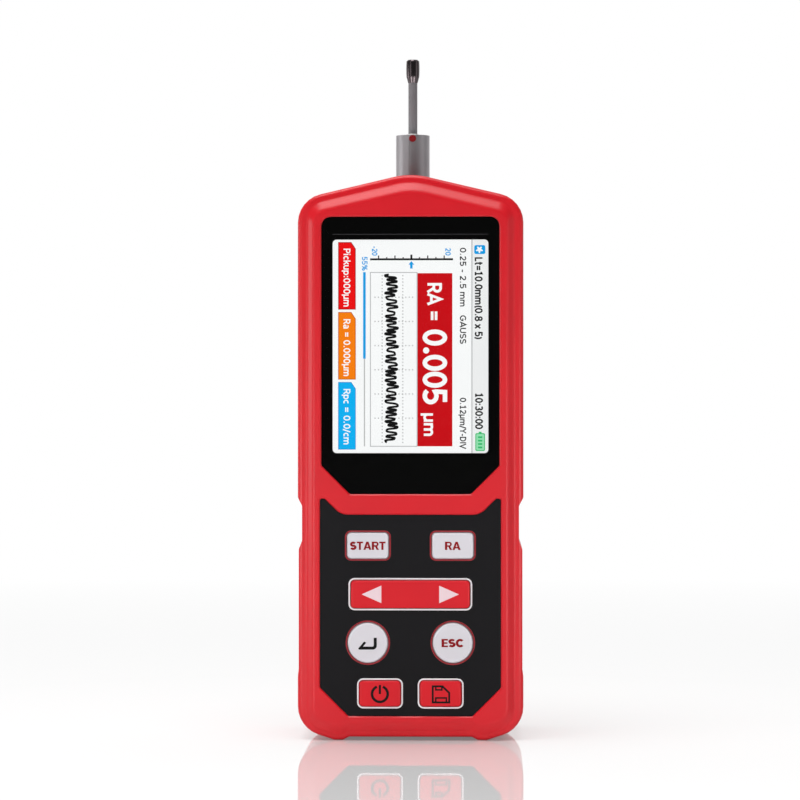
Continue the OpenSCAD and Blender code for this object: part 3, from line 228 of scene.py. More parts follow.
CORNER_STEPS = 6


def round_box(width, height, radius):
    """Outline of a rectangle with round corners about the origin, anticlockwise."""
    points = []
    for quarter, (sx, sz) in enumerate([(1, 1), (-1, 1), (-1, -1), (1, -1)]):
        for step in range(CORNER_STEPS + 1):
            angle = math.pi / 2 * (quarter + step / CORNER_STEPS)
            points.append((sx * (width / 2 - radius) + radius * math.cos(angle),
                           sz * (height / 2 - radius) + radius * math.sin(angle)))
    return points


def rectangle(x0, y0, x1, y1):
    """Outline of a rectangle between two corners, anticlockwise."""
    return [(x0, y0), (x1, y0), (x1, y1), (x0, y1)]


def circle(radius, steps=48):
    """Outline of a circle about the origin, anticlockwise."""
    return [(radius * math.cos(2 * math.pi * i / steps), radius * math.sin(2 * math.pi * i / steps))
            for i in range(steps)]


def upright(x, y, z):
    """Placing of flat work that faces the front: its x goes right and its y goes up."""
    return Matrix(((1, 0, 0, x), (0, 0, -1, y), (0, 1, 0, z), (0, 0, 0, 1)))


def solid_mesh(name, points, faces, place):
    """Closed plate, as thick as print, from flat points in millimetres and faces."""
    mesh = bpy.data.meshes.new(name)
    bm = bmesh.new()
    low = [bm.verts.new(place @ Vector((x * MM, y * MM, 0))) for x, y in points]
    high = [bm.verts.new(place @ Vector((x * MM, y * MM, PRINT_T))) for x, y in points]
    border = {}  # edges that only one face has, in the order in which they come
    for face in faces:
        bm.faces.new([high[i] for i in face])
        bm.faces.new([low[i] for i in reversed(face)])
        for a, b in zip(face, face[1:] + face[:1]):
            if (b, a) in border:
                del border[(b, a)]
            else:
                border[(a, b)] = True
    for a, b in border:
        bm.faces.new([low[a], low[b], high[b], high[a]])
    bm.normal_update()
    bm.to_mesh(mesh)
    bm.free()
    return mesh


def plate(name, outline, place, material, body):
    """Thin printed field with an outline in millimetres."""
    faces = [list(range(len(outline)))]
    add_object(name, solid_mesh(name, outline, faces, place), material, body)


def strip_faces(count, closed, first=0):
    """Faces between two rows of count points, one row after the other from number first on."""
    steps = [(i, (i + 1) % count) for i in range(count if closed else count - 1)]
    return [[first + i, first + j, first + count + j, first + count + i] for i, j in steps]


def band(name, outer, inner, place, material, body, closed=True):
    """Thin printed band between two outlines with as many points each."""
    faces = strip_faces(len(outer), closed)
    add_object(name, solid_mesh(name, outer + inner, faces, place), material, body)


def stroke(name, path, width, place, material, body, closed=False):
    """Printed line of a constant width along a path."""
    right, left = edges_of(path, width, closed)
    band(name, right, left, place, material, body, closed)


MITRE_LIMIT = 0.4


def arc(centre, radius, start, end, steps=12):
    """Points of an arc between two angles in degrees, with one radius or one for each axis."""
    across, along = radius if isinstance(radius, tuple) else (radius, radius)
    angles = [math.radians(start + (end - start) * i / steps) for i in range(steps + 1)]
    return [(centre[0] + across * math.cos(a), centre[1] + along * math.sin(a)) for a in angles]


def edges_of(path, width, closed=False):
    """Right and left edge of a line of a constant width along a path, with mitred corners."""
    points = [Vector(p) for p in path]
    count = len(points)
    right, left = [], []
    for i, point in enumerate(points):
        before = points[i - 1] if closed or i else None
        after = points[(i + 1) % count] if closed or i < count - 1 else None
        ways = [(b - a).normalized() for a, b in ((before, point), (point, after)) if a and b]
        normals = [Vector((way.y, -way.x)) for way in ways]
        across = sum(normals, Vector((0, 0))).normalized()
        reach = width / 2 / max(MITRE_LIMIT, across.dot(normals[0]))
        right.append(tuple(point + across * reach))
        left.append(tuple(point - across * reach))
    return right, left


# Lettering: each letter has its width and its shapes, in parts of the height of a capital

STEM = 0.27
LETTER_GAP = 0.03


def ribbon(path):
    """Outline of a curved letter, from the line that its pen follows."""
    right, left = edges_of(path, STEM)
    return right + left[::-1]


BLOCK_LETTERS = {
    "T": (0.72, [[(0, 1), (0, 0.8), (0.24, 0.8), (0.24, 0), (0.48, 0), (0.48, 0.8),
                  (0.72, 0.8), (0.72, 1)]]),
    "E": (0.66, [[(0, 0), (0.66, 0), (0.66, 0.2), (STEM, 0.2), (STEM, 0.41), (0.61, 0.41),
                  (0.61, 0.6), (STEM, 0.6), (STEM, 0.8), (0.65, 0.8), (0.65, 1), (0, 1)]]),
    "A": (0.92, [[(0, 0), (0.25, 0), (0.31, 0.19), (0.61, 0.19), (0.67, 0), (0.92, 0),
                  (0.59, 1), (0.33, 1)],
                 [(0.37, 0.37), (0.55, 0.37), (0.46, 0.7)]]),
    "R": (0.82, [[(0, 0), (STEM, 0), (STEM, 0.38), (0.38, 0.38), (0.56, 0), (0.82, 0),
                  (0.61, 0.43)]
                 + arc((0.48, 0.7), 0.3, -50, 90) + [(0, 1)],
                 [(STEM, 0.57)] + arc((0.46, 0.69), 0.12, -90, 90) + [(STEM, 0.81)]]),
    "C": (0.84, [ribbon(arc((0.44, 0.5), (0.32, 0.38), 42, 318, 24))]),
    "S": (0.74, [ribbon(arc((0.37, 0.69), (0.23, 0.19), 25, 270)
                        + arc((0.37, 0.31), (0.25, 0.19), 80, -155))]),
}


def block_letters(name, word, height, width, place, material, body):
    """Heavy capitals, centred on the origin of place."""
    at, corners, faces = 0.0, [], []
    for letter in word:
        advance, outlines = BLOCK_LETTERS[letter]
        first = len(corners)
        loops = [[Vector((at + x, y, 0)) for x, y in outline] for outline in outlines]
        flat = [point for loop in loops for point in loop]
        for triangle in tessellate_polygon(loops):
            a, b, c = (flat[i] for i in triangle)
            turn = (b - a).cross(c - a).z
            faces.append([first + i for i in (triangle if turn > 0 else reversed(triangle))])
        corners += flat
        at += advance + LETTER_GAP
    full = at - LETTER_GAP
    placed = [((point.x - full / 2) * width / full, (point.y - 0.5) * height) for point in corners]
    add_object(name, solid_mesh(name, placed, faces, place), material, body)


def ring(centre, radius):
    """Line that closes on itself round a centre."""
    return arc(centre, radius, 0, 360, 20)


CUP = arc((0.33, 0.28), (0.21, 0.22), 180, 345, 8)
BOWL = arc((0.38, 0.69), (0.22, 0.24), 90, -90) + [(0.13, 0.45)]
PEN_LETTERS = {
    "0": (0.72, [ring((0.36, 0.5), (0.25, 0.43))]),
    "1": (0.72, [[(0.16, 0.78), (0.39, 0.93), (0.39, 0.0)], [(0.16, 0.07), (0.62, 0.07)]]),
    "2": (0.72, [arc((0.35, 0.69), (0.23, 0.24), 160, -35) + [(0.12, 0.08)],
                 [(0.1, 0.07), (0.63, 0.07)]]),
    "3": (0.72, [arc((0.33, 0.72), (0.22, 0.21), 150, -90),
                 arc((0.33, 0.29), (0.26, 0.22), 90, -150)]),
    "5": (0.72, [[(0.59, 0.93), (0.17, 0.93), (0.15, 0.55)]
                 + arc((0.33, 0.32), (0.27, 0.25), 130, -145)]),
    "8": (0.72, [ring((0.36, 0.72), (0.21, 0.21)), ring((0.36, 0.28), (0.25, 0.22))]),
    ".": (0.36, [[(0.18, 0.0), (0.18, 0.18)]]),
    ":": (0.36, [[(0.18, 0.02), (0.18, 0.2)], [(0.18, 0.5), (0.18, 0.68)]]),
    "=": (0.74, [[(0.08, 0.33), (0.66, 0.33)], [(0.08, 0.61), (0.66, 0.61)]]),
    "-": (0.46, [[(0.06, 0.38), (0.4, 0.38)]]),
    "(": (0.4, [arc((0.6, 0.42), (0.42, 0.62), 130, 230)]),
    ")": (0.4, [arc((-0.2, 0.42), (0.42, 0.62), 50, -50)]),
    "/": (0.44, [[(0.04, -0.1), (0.38, 1.0)]]),
    "%": (0.96, [ring((0.22, 0.74), (0.14, 0.19)), ring((0.73, 0.26), (0.14, 0.19)),
                 [(0.24, 0.0), (0.72, 1.0)]]),
    " ": (0.36, []),
    "L": (0.62, [[(0.13, 1.0), (0.13, 0.07), (0.58, 0.07)]]),
    "G": (0.86, [arc((0.42, 0.5), (0.32, 0.43), 45, 330, 20) + [(0.72, 0.47), (0.45, 0.47)]]),
    "A": (0.78, [[(0.05, 0.0), (0.39, 0.95), (0.73, 0.0)], [(0.17, 0.28), (0.61, 0.28)]]),
    "U": (0.8, [[(0.13, 1.0)] + arc((0.4, 0.34), 0.27, 180, 360) + [(0.67, 1.0)]]),
    "S": (0.7, [arc((0.35, 0.71), (0.24, 0.22), 30, 270)
                + arc((0.35, 0.28), (0.26, 0.21), 80, -150)]),
    "Y": (0.72, [[(0.04, 1.0), (0.36, 0.5), (0.68, 1.0)], [(0.36, 0.5), (0.36, 0.0)]]),
    "D": (0.8, [[(0.13, 0.07), (0.13, 0.93)] + arc((0.34, 0.5), (0.33, 0.43), 90, -90)
                + [(0.13, 0.07)]]),
    "I": (0.3, [[(0.15, 0.0), (0.15, 1.0)]]),
    "V": (0.76, [[(0.04, 1.0), (0.38, 0.05), (0.72, 1.0)]]),
    "R": (0.74, [[(0.13, 0.0), (0.13, 0.93)] + BOWL, [(0.38, 0.45), (0.66, 0.0)]]),
    "P": (0.68, [[(0.13, 0.0), (0.13, 0.93)] + BOWL]),
    "t": (0.48, [[(0.2, 1.0)] + arc((0.35, 0.22), (0.15, 0.15), 180, 290, 6),
                 [(0.04, 0.68), (0.43, 0.68)]]),
    "m": (1.02, [[(0.12, 0.0), (0.12, 0.75)]]
          + [arc((x, 0.47), (0.19, 0.2), 180, 0, 8) + [(x + 0.19, 0.0)] for x in (0.31, 0.69)]),
    "x": (0.62, [[(0.06, 0.0), (0.56, 0.72)], [(0.06, 0.72), (0.56, 0.0)]]),
    "µ": (0.7, [[(0.12, -0.26), (0.12, 0.75)], CUP, [(0.56, 0.75), (0.56, 0.0)]]),
    "u": (0.7, [[(0.12, 0.75)] + CUP, [(0.56, 0.75), (0.56, 0.0)]]),
    "i": (0.3, [[(0.14, 0.0), (0.14, 0.72)], [(0.14, 0.87), (0.14, 1.03)]]),
    "c": (0.6, [arc((0.34, 0.36), (0.23, 0.3), 50, 310)]),
    "k": (0.62, [[(0.12, 0.0), (0.12, 1.03)], [(0.54, 0.73), (0.16, 0.35)],
                 [(0.28, 0.46), (0.58, 0.0)]]),
    "p": (0.68, [[(0.12, -0.26), (0.12, 0.75)], ring((0.35, 0.36), (0.23, 0.3))]),
    "a": (0.66, [arc((0.31, 0.48), (0.2, 0.2), 140, 0, 8) + [(0.51, 0.0)],
                 ring((0.3, 0.2), (0.2, 0.15))]),
}


def pen_letters(name, words, height, width, place, material, body, pen):
    """Lettering with lines as wide as pen times its height, centred on the origin of place."""
    full = sum(PEN_LETTERS[letter][0] for letter in words)
    at, corners, faces = -full / 2, [], []
    for letter in words:
        advance, lines = PEN_LETTERS[letter]
        for points in lines:
            points = [Vector(((at + x) * width / full, (y - 0.5) * height)) for x, y in points]
            closed = (points[0] - points[-1]).length * MM < MERGE_DISTANCE
            right, left = edges_of(points[:-1] if closed else points, pen * height, closed)
            faces += strip_faces(len(right), closed, len(corners))
            corners += right + left
        at += advance
    add_object(name, solid_mesh(name, corners, faces, place), material, body)


# Case, keys and pickup

FLAT_ANGLE = math.radians(0.05)
CREASE = math.radians(30)


def refill(bm, depth):
    """Fills the flat front of the case afresh from its border and its openings."""
    flat = [face for face in bm.faces
            if all(abs(vertex.co.y - depth) < MERGE_DISTANCE for vertex in face.verts)]
    bmesh.ops.delete(bm, geom=flat, context="FACES")
    border = [edge for edge in bm.edges if edge.is_boundary]
    bmesh.ops.triangle_fill(bm, use_beauty=True, edges=border, normal=(0, -1, 0))


def refined(node, material, bevel=0.0, flat_front=False):
    """Copy of a node's solid with smooth shading, and with sharp edges rounded by a bevel."""
    mesh = frame["nodes"][node].data.copy()
    mesh.name = node + "_skin"
    bm = bmesh.new()
    bm.from_mesh(mesh)
    bmesh.ops.remove_doubles(bm, verts=bm.verts, dist=MERGE_DISTANCE)
    if flat_front:
        refill(bm, middle(node)[1])
    if bevel:
        bmesh.ops.dissolve_limit(bm, angle_limit=FLAT_ANGLE, verts=bm.verts, edges=bm.edges)
    bm.to_mesh(mesh)
    bm.free()
    if mesh.has_custom_normals:
        mesh.attributes.remove(mesh.attributes["custom_normal"])
    mesh.shade_smooth()
    mesh.set_sharp_from_angle(angle=CREASE)
    piece = add_object(node + "_skin", mesh, material, BODY_OF[node])
    if bevel:
        rounding = piece.modifiers.new("rounding", "BEVEL")
        rounding.width = bevel * MM
        rounding.segments = 2
        rounding.limit_method = "ANGLE"
        rounding.angle_limit = CREASE
    normals = piece.modifiers.new("normals", "WEIGHTED_NORMAL")
    normals.keep_sharp = True
    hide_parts(node)


def dress_nodes():
    """Gives every solid its finish, and a refined skin where it shows."""
    for node, solid in frame["nodes"].items():
        solid.data.materials.clear()
        solid.data.materials.append(SLOT_FINISH[SLOT_OF[node]])
    refined("front_cover", RED_CASE, flat_front=True)
    refined("rear_cover", RED_CASE)
    refined("keypad_sheet", BLACK_SHEET, 0.08)
    for key in ("start_key", "parameter_key", "enter_key", "escape_key"):
        refined(key, WHITE_KEY)
    for key in ("rocker_key", "power_key", "save_key"):
        refined(key, RED_KEY)
    refined("pickup_sleeve", SATIN_METAL, 0.15)
    refined("sheath_tube", TUBE_METAL, 0.05)
    refined("skid_nose", NOSE_METAL, 0.05)
    refined("root_ring", WHITE_PLASTIC, 0.08)
    refined("alignment_dot", RED_DOT)
    refined("entry_bush", BLACK_PLASTIC, 0.1)
    refined("case_screws", BLACK_STEEL, 0.1)
    refined("stand_insert", BRASS, 0.15)
    refined("charging_socket", STEEL, 0.05)


# Key surrounds and legends, in millimetres

KEY_W, KEY_H, KEY_R = 11.6, 7.2, 1.1
ROUND_KEY_R = 5.6
ROCKER_W, ROCKER_H = 33.4, 7.8
SURROUND_IN = 0.2
SURROUND_OUT = 0.62
LEGEND_H = 2.3
ARROW_TIP, ARROW_BASE, ARROW_HALF_H = 13.6, 8.1, 2.45
POWER_R, POWER_LINE, POWER_BAR_LINE = 2.2, 0.72, 0.62
DISK_LINE, DISK_FINE_LINE = 0.54, 0.44


def surround(node, outline, material):
    """Printed frame round a key, on the keypad sheet; outline(grow) gives its edges."""
    x, _, z = middle(node)
    _, face, _ = middle("keypad_sheet")
    band(node + "_surround", outline(SURROUND_OUT), outline(SURROUND_IN), upright(x, face, z),
         material, "housing")


def box_edge(width, height):
    """Edge of a key with round corners, for surround."""
    return lambda grow: round_box(width + 2 * grow, height + 2 * grow, KEY_R + grow)


def round_edge(grow):
    """Edge of a round key, for surround."""
    return circle(ROUND_KEY_R + grow)


def on_key(node):
    """Placing of a legend on a key's top."""
    return upright(*middle(node))


def key_print():
    """Frames round the keys, and the legends on them."""
    for node in ("start_key", "parameter_key"):
        surround(node, box_edge(KEY_W, KEY_H), PRINT_DARK_RED)
    for node in ("enter_key", "escape_key"):
        surround(node, round_edge, PRINT_DARK_RED)
    for node in ("power_key", "save_key"):
        surround(node, box_edge(KEY_W, KEY_H), PRINT_WHITE)
    surround("rocker_key", box_edge(ROCKER_W, ROCKER_H), PRINT_WHITE)

    words = (("start", "START", 10.0), ("parameter", "RA", 4.4), ("escape", "ESC", 6.3))
    for key, word, width in words:
        place = on_key(key + "_key")
        block_letters(key + "_legend", word, LEGEND_H, width, place, PRINT_LETTER, key)

    for name, side in (("left", -1), ("right", 1)):
        tip, base = ARROW_TIP * side, ARROW_BASE * side
        corners = [(base, -ARROW_HALF_H * side), (base, ARROW_HALF_H * side), (tip, 0)]
        plate("rocker_arrow_" + name, corners, on_key("rocker_key"), PRINT_PINK, "rocker")

    hook = [(2.54, 1.45)] + arc((1.42, -0.75), 1.12, 0, -90, 8)
    hook += [(-2.4, -1.87), (-2.72, -1.62), (-1.1, 0.3), (-0.8, 0.34), (-0.45, 0.02), (-1.3, -1.02)]
    hook += arc((1.3, -0.65), 0.37, -90, 0, 6) + [(1.67, 1.45)]
    plate("enter_arrow", hook[::-1], on_key("enter_key"), PRINT_BLACK, "enter")

    place = on_key("power_key")
    circuit = arc((0, -0.1), POWER_R, 112, 428, 36)
    stroke("power_ring", circuit, POWER_LINE, place, PRINT_BLACK, "power")
    stroke("power_bar", [(0, 2.45), (0, -0.1)], POWER_BAR_LINE, place, PRINT_BLACK, "power")

    place = on_key("save_key")
    disk = [(-2.2, -2.4), (2.4, -2.4), (2.4, 0.3), (0.5, 2.1), (-2.2, 2.1)]
    shutter = [(-1.35, 1.9), (-1.35, 1.1), (0.35, 1.1), (0.35, 1.9)]
    label = [(-1.35, -2.2), (-1.35, -1.15), (1.6, -1.15), (1.6, -2.2)]
    stroke("save_disk", disk, DISK_LINE, place, PRINT_BLACK, "save", True)
    stroke("save_shutter", shutter, DISK_FINE_LINE, place, PRINT_BLACK, "save")
    stroke("save_label", label, DISK_FINE_LINE, place, PRINT_BLACK, "save")


# Screen picture, in millimetres and in landscape: from the screen's upper left corner, u runs down
# the housing and v runs to the right

SCREEN_W, SCREEN_H = 43.7, 59.9
LAYER = 0.03 * MM
GROUND, FIELDS, LINES, WORDS, MARKS = range(5)
TEXT_PEN, READING_PEN, TAB_PEN = 0.185, 0.19, 0.175
SCALE_TEXT, SETTING_TEXT, STATUS_TEXT, TAB_TEXT, READING_TEXT = 1.5, 1.7, 2.1, 1.9, 6.6
BORDER_LINE, FINE_LINE, AXIS_LINE, TRACE_LINE, DOT_SIZE = 0.25, 0.32, 0.55, 0.6, 0.34
GLOW_WHITE = glow("glow_white", linear(255, 255, 255))
GLOW_STRIP = glow("glow_strip", linear(243, 243, 243))
GLOW_LINE = glow("glow_line", linear(188, 188, 190))
GLOW_DOT = glow("glow_dot", linear(190, 190, 190))
GLOW_GREY = glow("glow_grey", linear(36, 36, 38))
GLOW_BLACK = glow("glow_black", linear(8, 8, 9))
GLOW_RED = glow("glow_red", linear(203, 0, 13))
GLOW_SIGNAL = glow("glow_signal", linear(240, 4, 8))
GLOW_DARK_RED = glow("glow_dark_red", linear(160, 10, 12))
GLOW_ORANGE = glow("glow_orange", linear(252, 128, 2))
GLOW_BROWN = glow("glow_brown", linear(190, 84, 0))
GLOW_BLUE = glow("glow_blue", linear(0, 178, 245))
GLOW_DEEP_BLUE = glow("glow_deep_blue", linear(0, 140, 210))
GLOW_BAR = glow("glow_bar", linear(0, 158, 230))
GLOW_GREEN = glow("glow_green", linear(52, 190, 110))
GLOW_PALE_GREEN = glow("glow_pale_green", linear(150, 226, 178))


def on_screen(u=0.0, v=0.0, layer=FIELDS):
    """Placing of landscape work at a point of the screen, on a layer of the picture."""
    x, face, z = middle("lcd_panel")
    left = x - SCREEN_W / 2 * MM
    top = z + SCREEN_H / 2 * MM
    return Matrix(((0, 1, 0, left + v * MM), (0, 0, -1, face - layer * LAYER),
                   (-1, 0, 0, top - u * MM), (0, 0, 0, 1)))


def field(name, u0, v0, u1, v1, material, layer=FIELDS):
    """Rectangle of colour on the screen."""
    plate(name, rectangle(u0, v0, u1, v1), on_screen(layer=layer), material, "housing")


def tile(name, u, v, outline, material, layer=LINES):
    """Field with an outline about a point of the screen."""
    plate(name, outline, on_screen(u, v, layer), material, "housing")


def caption(name, words, u0, u1, v, height, material, pen=TEXT_PEN):
    """Words that fill the stretch from u0 to u1, their capitals centred on the line v."""
    place = on_screen((u0 + u1) / 2, v, WORDS)
    pen_letters(name, words, height, u1 - u0, place, material, "housing", pen)


def line(name, points, width, material, layer=LINES, closed=False):
    """Line on the screen through points."""
    stroke(name, points, width, on_screen(layer=layer), material, "housing", closed)


def dots(name, places):
    """Row of small square dots as one piece."""
    half = DOT_SIZE / 2
    corners, faces = [], []
    for u, v in places:
        first = len(corners)
        corners += rectangle(u - half, v - half, u + half, v + half)
        faces.append([first, first + 1, first + 2, first + 3])
    add_object(name, solid_mesh(name, corners, faces, on_screen(layer=LINES)), GLOW_DOT, "housing")


GRAPH_U, GRAPH_V = (9.2, 58.0), (10.6, 23.7)
ROW_V, ROW_STEP = (13.9, 19.7), 0.9
COLUMN_U, COLUMN_GAP, COLUMN_V, COLUMN_STEP = 16.15, 6.79, 11.9, 0.96
TRACE_V, TRACE_HEIGHT, TRACE_STEP, TRACE_POINTS = 16.5, 1.35, 0.08, 590


def screen_graph():
    """Dotted grid with a roughness profile across it."""
    u0, u1 = GRAPH_U
    v0, v1 = GRAPH_V
    line("graph_border", rectangle(u0, v0, u1, v1), BORDER_LINE, GLOW_LINE, closed=True)
    for i, v in enumerate(ROW_V):
        dots("graph_row_%d" % i, [(u0 + ROW_STEP * k, v) for k in range(1, 54)])
    for i in range(6):
        u = COLUMN_U + COLUMN_GAP * i
        dots("graph_column_%d" % i, [(u, COLUMN_V + COLUMN_STEP * k) for k in range(12)])
    trace = []
    for step in range(TRACE_POINTS):
        u = u0 + 0.6 + TRACE_STEP * step
        swing = math.sin(4.4 * u + 1.6 * math.sin(0.5 * u) + 0.8 * math.sin(1.7 * u))
        drift = 0.3 * math.sin(1.1 * u) + 0.25 * math.sin(2.3 * u + 1)
        trace.append((u, TRACE_V + TRACE_HEIGHT * math.tanh(2.2 * swing) + drift))
    line("graph_trace", trace, TRACE_LINE, GLOW_BLACK, WORDS)


def screen_scale():
    """Position scale beside the graph, with its pointer."""
    line("scale_axis", [(5.5, 10.5), (5.5, 33.8)], AXIS_LINE, GLOW_BLACK)
    for i in range(9):
        v = 12.9 + 2.3 * i
        reach = 1.1 if i == 4 else 0.85 if i % 2 == 0 else 0.4
        width = AXIS_LINE if i == 4 else FINE_LINE
        line("scale_tick_%d" % i, [(5.3 - reach, v), (5.3, v)], width, GLOW_BLACK)
    arrow = [(6.0, 22.1), (7.0, 21.3), (7.0, 21.75), (8.1, 21.75),
             (8.1, 22.45), (7.0, 22.45), (7.0, 22.9)]
    tile("scale_pointer", 0, 0, arrow, GLOW_BAR)
    caption("scale_low", "-20", 1.8, 4.5, 11.8, SCALE_TEXT, GLOW_BAR)
    caption("scale_high", "20", 2.3, 4.5, 32.4, SCALE_TEXT, GLOW_BAR)


def screen_status():
    """Status strip with a symbol, settings, time and battery, and a line of settings below."""
    field("status_strip", 0, 39.1, SCREEN_H, SCREEN_W, GLOW_STRIP)
    field("status_edge", 0, 38.95, SCREEN_H, 39.25, GLOW_LINE, LINES)
    tile("status_symbol", 2.8, 41.3, round_box(2.5, 3.1, 0.5), GLOW_BAR)
    turns = [2 * math.pi * i / 60 for i in range(60)]
    petals = [(0.75 + 0.25 * math.cos(5 * turn), turn) for turn in turns]
    flower = [(radius * math.cos(turn), radius * math.sin(turn)) for radius, turn in petals]
    tile("status_flower", 2.8, 41.2, flower, GLOW_WHITE, WORDS)
    caption("status_setting", "Lt=10.0mm(0.8 x 5)", 4.9, 28.1, 41.0, STATUS_TEXT, GLOW_BLACK, 0.2)
    caption("status_time", "10:30:00", 42.9, 53.2, 41.1, STATUS_TEXT, GLOW_BLACK, 0.2)
    tile("battery_case", 56.8, 41.4, round_box(5.0, 2.7, 0.4), GLOW_GREEN)
    tile("battery_cell", 56.8, 41.4, round_box(4.5, 2.2, 0.3), GLOW_PALE_GREEN, WORDS)
    field("battery_tip", 53.9, 41.0, 54.4, 41.8, GLOW_GREEN, LINES)
    for i in range(4):
        u = 55.2 + 0.95 * i
        field("battery_bar_%d" % i, u, 40.8, u + 0.5, 42.0, GLOW_GREEN, MARKS)
    caption("filter_setting", "0.25 - 2.5 mm   GAUSS", 2.2, 29.3, 36.6, SETTING_TEXT, GLOW_GREY)
    caption("height_setting", "0.12µm/Y-DIV", 44.3, 58.7, 36.6, SETTING_TEXT, GLOW_GREY)


def screen_result():
    """Large reading, progress bar and three small readings."""
    field("result_field", 9.4, 23.75, 58.0, 33.6, GLOW_RED)
    caption("result_name", "RA =", 12.0, 22.9, 28.6, 3.95, GLOW_WHITE, READING_PEN)
    caption("result_whole", "0", 25.1, 29.85, 28.7, READING_TEXT, GLOW_WHITE, READING_PEN)
    tile("result_point", 31.1, 26.25, circle(0.87, 24), GLOW_WHITE, WORDS)
    caption("result_part", "005", 32.2, 46.4, 28.7, READING_TEXT, GLOW_WHITE, READING_PEN)
    caption("result_unit", "µm", 48.6, 55.3, 27.3, 3.4, GLOW_WHITE, 0.2)
    field("progress_rest", 33.4, 8.75, 58.0, 9.1, GLOW_DOT, LINES)
    field("progress_bar", 9.1, 8.55, 33.4, 9.28, GLOW_BAR, LINES)
    caption("progress_share", "55%", 4.7, 8.7, 9.0, SCALE_TEXT, GLOW_BAR)
    readings = (("Pickup:000µm", 2.4, 18.9, GLOW_SIGNAL, GLOW_DARK_RED),
                ("Ra = 0.000µm", 22.2, 38.4, GLOW_ORANGE, GLOW_BROWN),
                ("Rpc = 0.0/cm", 41.8, 57.6, GLOW_BLUE, GLOW_DEEP_BLUE))
    tab_length, tab_step, v0, v1 = 18.75, 19.65, 1.64, 6.38
    for i, (words, first, last, colour, edge) in enumerate(readings):
        u0 = 0.76 + tab_step * i
        u1 = u0 + tab_length
        outline = [(u0, v0), (u1, v0), (u1, v1), (u0 + 1.8, v1), (u0, v1 - 1.2)]
        tile("tab_%d" % i, 0, 0, outline, colour, FIELDS)
        line("tab_edge_%d" % i, outline, 0.2, edge, closed=True)
        caption("tab_reading_%d" % i, words, first, last, 4.0, TAB_TEXT, GLOW_WHITE, TAB_PEN)


def screen_picture():
    """Lit picture on the display panel, and a thin grey line on the window above it, painted as the
    highlight of the window's bevelled upper edge.
    """
    ground = [(x + SCREEN_H / 2, y + SCREEN_W / 2) for x, y in round_box(SCREEN_H, SCREEN_W, 1.1)]
    tile("screen_ground", 0, 0, ground, GLOW_WHITE, GROUND)
    screen_status()
    screen_scale()
    screen_graph()
    screen_result()
    # Thin grey line on the window above the picture: a painted highlight of the window's bevelled upper
    # edge
    x, face, _ = middle("display_window")
    screen_top = middle("lcd_panel")[2] + SCREEN_H / 2 * MM
    half_w, half_h, above = 21.8, 0.05, 1.43
    plate("window_edge_highlight", rectangle(-half_w, -half_h, half_w, half_h),
          upright(x, face, screen_top + above * MM), PAINTED_EDGE_GREY, "housing")


# Light, floor and camera

CAMERA_AT = Vector((0.021, -0.9225, 0.0955))
AIM = Vector((-0.00288, -0.0225, 0.0955))
FIELD_W = 0.224
SENSOR = 36.0
DIM_FRONT, WHITE_BACK = 0.12, 1.0
FLOOR_REACH = 6.0
FLOOR_WHITE = (0.98, 0.98, 0.98, 1)
NEAR_SHARE, NEAR_END, WHITE_START = 0.15, 0.2, 0.8
MIRROR_END, DARK_START = 0.5, 1.2


def surroundings():
    """World that the camera sees as white, and that lights the object from behind more than in front."""
    world = bpy.data.worlds.new("studio")
    bpy.context.scene.world = world
    world.use_nodes = True
    tree = world.node_tree
    ground = tree.nodes["Background"]
    ground.inputs["Color"].default_value = (1, 1, 1, 1)
    coords = tree.nodes.new("ShaderNodeTexCoord")
    parts = tree.nodes.new("ShaderNodeSeparateXYZ")
    tree.links.new(coords.outputs["Generated"], parts.inputs["Vector"])
    backdrop = link_range(tree, parts.outputs["Y"], DIM_FRONT, WHITE_BACK, 0.0, 0.7)
    rays = tree.nodes.new("ShaderNodeLightPath")
    strength = link_math(tree, "MAXIMUM", rays.outputs["Is Camera Ray"], backdrop)
    tree.links.new(strength, ground.inputs["Strength"])


def studio():
    """White floor and surroundings, and soft lamps above, at both sides and low in front."""
    bpy.context.scene.view_settings.view_transform = "Standard"
    surroundings()

    floor_mesh = bpy.data.meshes.new("floor")
    corners = rectangle(-FLOOR_REACH, -FLOOR_REACH, FLOOR_REACH, FLOOR_REACH)
    floor_mesh.from_pydata([(x, y, 0) for x, y in corners], [], [(0, 1, 2, 3)])
    floor = bpy.data.objects.new("floor", floor_mesh)
    bpy.context.collection.objects.link(floor)
    floor_mesh.materials.append(floor_finish())

    lamp("top_light", (-0.1, -0.2, 0.9), (0, -0.12, 0), 0.7, 6.8)
    glass = frame["nodes"]["display_window"]
    lamp("key_light", (-0.7, -0.75, 0.2), (0, -0.02, 0.04), 0.5, 0.65, [floor])
    lamp("fill_light", (0.85, -0.3, 0.2), (0, -0.02, 0.1), 0.5, 0.5, [floor])
    lamp("low_left_light", (-0.16, -0.28, 0.03), (0, -0.02, 0), 0.14, 0.28, [floor, glass])
    lamp("low_right_light", (0.16, -0.28, 0.03), (0, -0.02, 0), 0.14, 0.28, [floor, glass])
    lamp("left_light", (-0.6, 0.0, 0.13), (0, 0, 0.06), 0.25, 0.5, [floor])


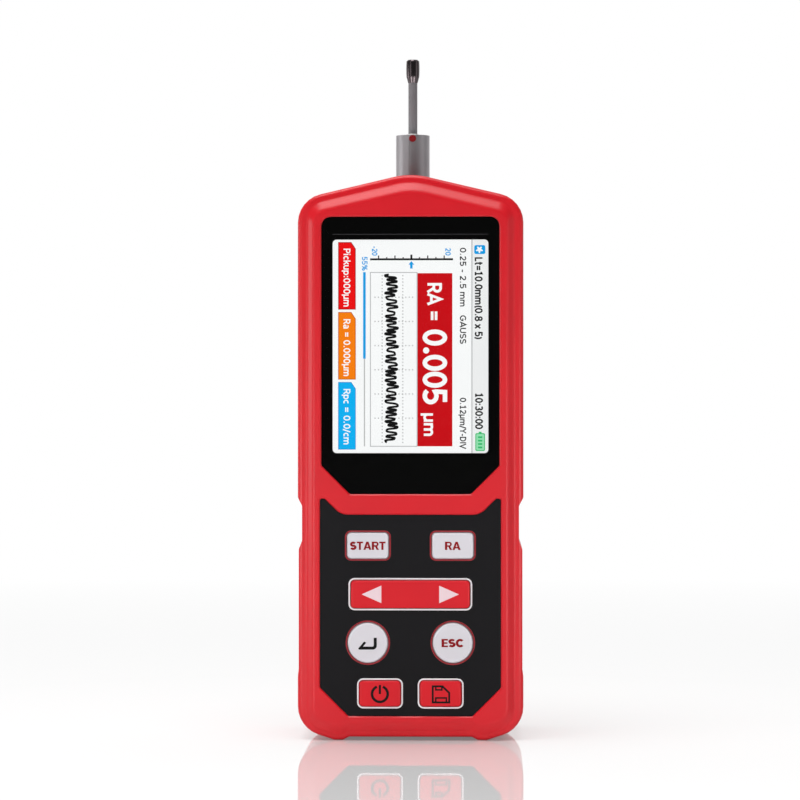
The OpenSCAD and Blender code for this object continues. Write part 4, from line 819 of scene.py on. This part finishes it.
def floor_finish():
    """White floor that keeps the object's shadow and reflection, and is plain white further off."""
    material = bpy.data.materials.new("floor")
    material.use_nodes = True
    tree = material.node_tree
    shader = tree.nodes["Principled BSDF"]
    shader.inputs["Base Color"].default_value = FLOOR_WHITE
    shader.inputs["Roughness"].default_value = 0.03
    shader.inputs["Specular IOR Level"].default_value = 0.5
    coords = tree.nodes.new("ShaderNodeTexCoord")
    reach = tree.nodes.new("ShaderNodeVectorMath")
    reach.operation = "LENGTH"
    tree.links.new(coords.outputs["Object"], reach.inputs[0])
    distance = reach.outputs["Value"]
    rays = tree.nodes.new("ShaderNodeLightPath").outputs
    mirrored = link_math(tree, "MAXIMUM", rays["Is Glossy Ray"], rays["Is Transmission Ray"])
    near = link_range(tree, distance, 1.0, 0.0, MIRROR_END, DARK_START)
    mirrored = link_math(tree, "MULTIPLY", mirrored, near)
    seen = link_math(tree, "MAXIMUM", rays["Is Camera Ray"], mirrored)
    white_share = link_range(tree, distance, NEAR_SHARE, 1.0, NEAR_END, WHITE_START)
    share = link_math(tree, "MULTIPLY", seen, white_share)
    white = tree.nodes.new("ShaderNodeEmission")
    mix = tree.nodes.new("ShaderNodeMixShader")
    tree.links.new(share, mix.inputs["Fac"])
    tree.links.new(shader.outputs["BSDF"], mix.inputs[1])
    tree.links.new(white.outputs["Emission"], mix.inputs[2])
    tree.links.new(mix.outputs["Shader"], tree.nodes["Material Output"].inputs["Surface"])
    return material


def facing(place, target):
    """Turn of a lamp or camera that looks from a place to a target."""
    return (target - place).to_track_quat("-Z", "Y").to_euler()


def lamp(name, place, target, size, power, unlit=()):
    """Round soft light with a width and a power in watts, which leaves some objects unlit."""
    light = bpy.data.lights.new(name, "AREA")
    light.shape = "DISK"
    light.size = size
    light.energy = power
    holder = bpy.data.objects.new(name, light)
    holder.location = place
    holder.rotation_euler = facing(Vector(place), Vector(target))
    bpy.context.collection.objects.link(holder)
    if unlit:
        left_out = bpy.data.collections.new(name + "_leaves_out")
        for thing in unlit:
            left_out.objects.link(thing)
        for entry in left_out.collection_objects:
            entry.light_linking.link_state = "EXCLUDE"
        holder.light_linking.receiver_collection = left_out


def camera():
    """Camera at the photo's angle, a little to the right of the object's middle."""
    data = bpy.data.cameras.new("camera")
    data.sensor_width = SENSOR
    data.lens = SENSOR * (AIM - CAMERA_AT).length / FIELD_W
    holder = bpy.data.objects.new("camera", data)
    holder.location = CAMERA_AT
    holder.rotation_euler = facing(CAMERA_AT, AIM)
    bpy.context.collection.objects.link(holder)
    bpy.context.scene.camera = holder


camera()
studio()
dress_nodes()
key_print()
screen_picture()
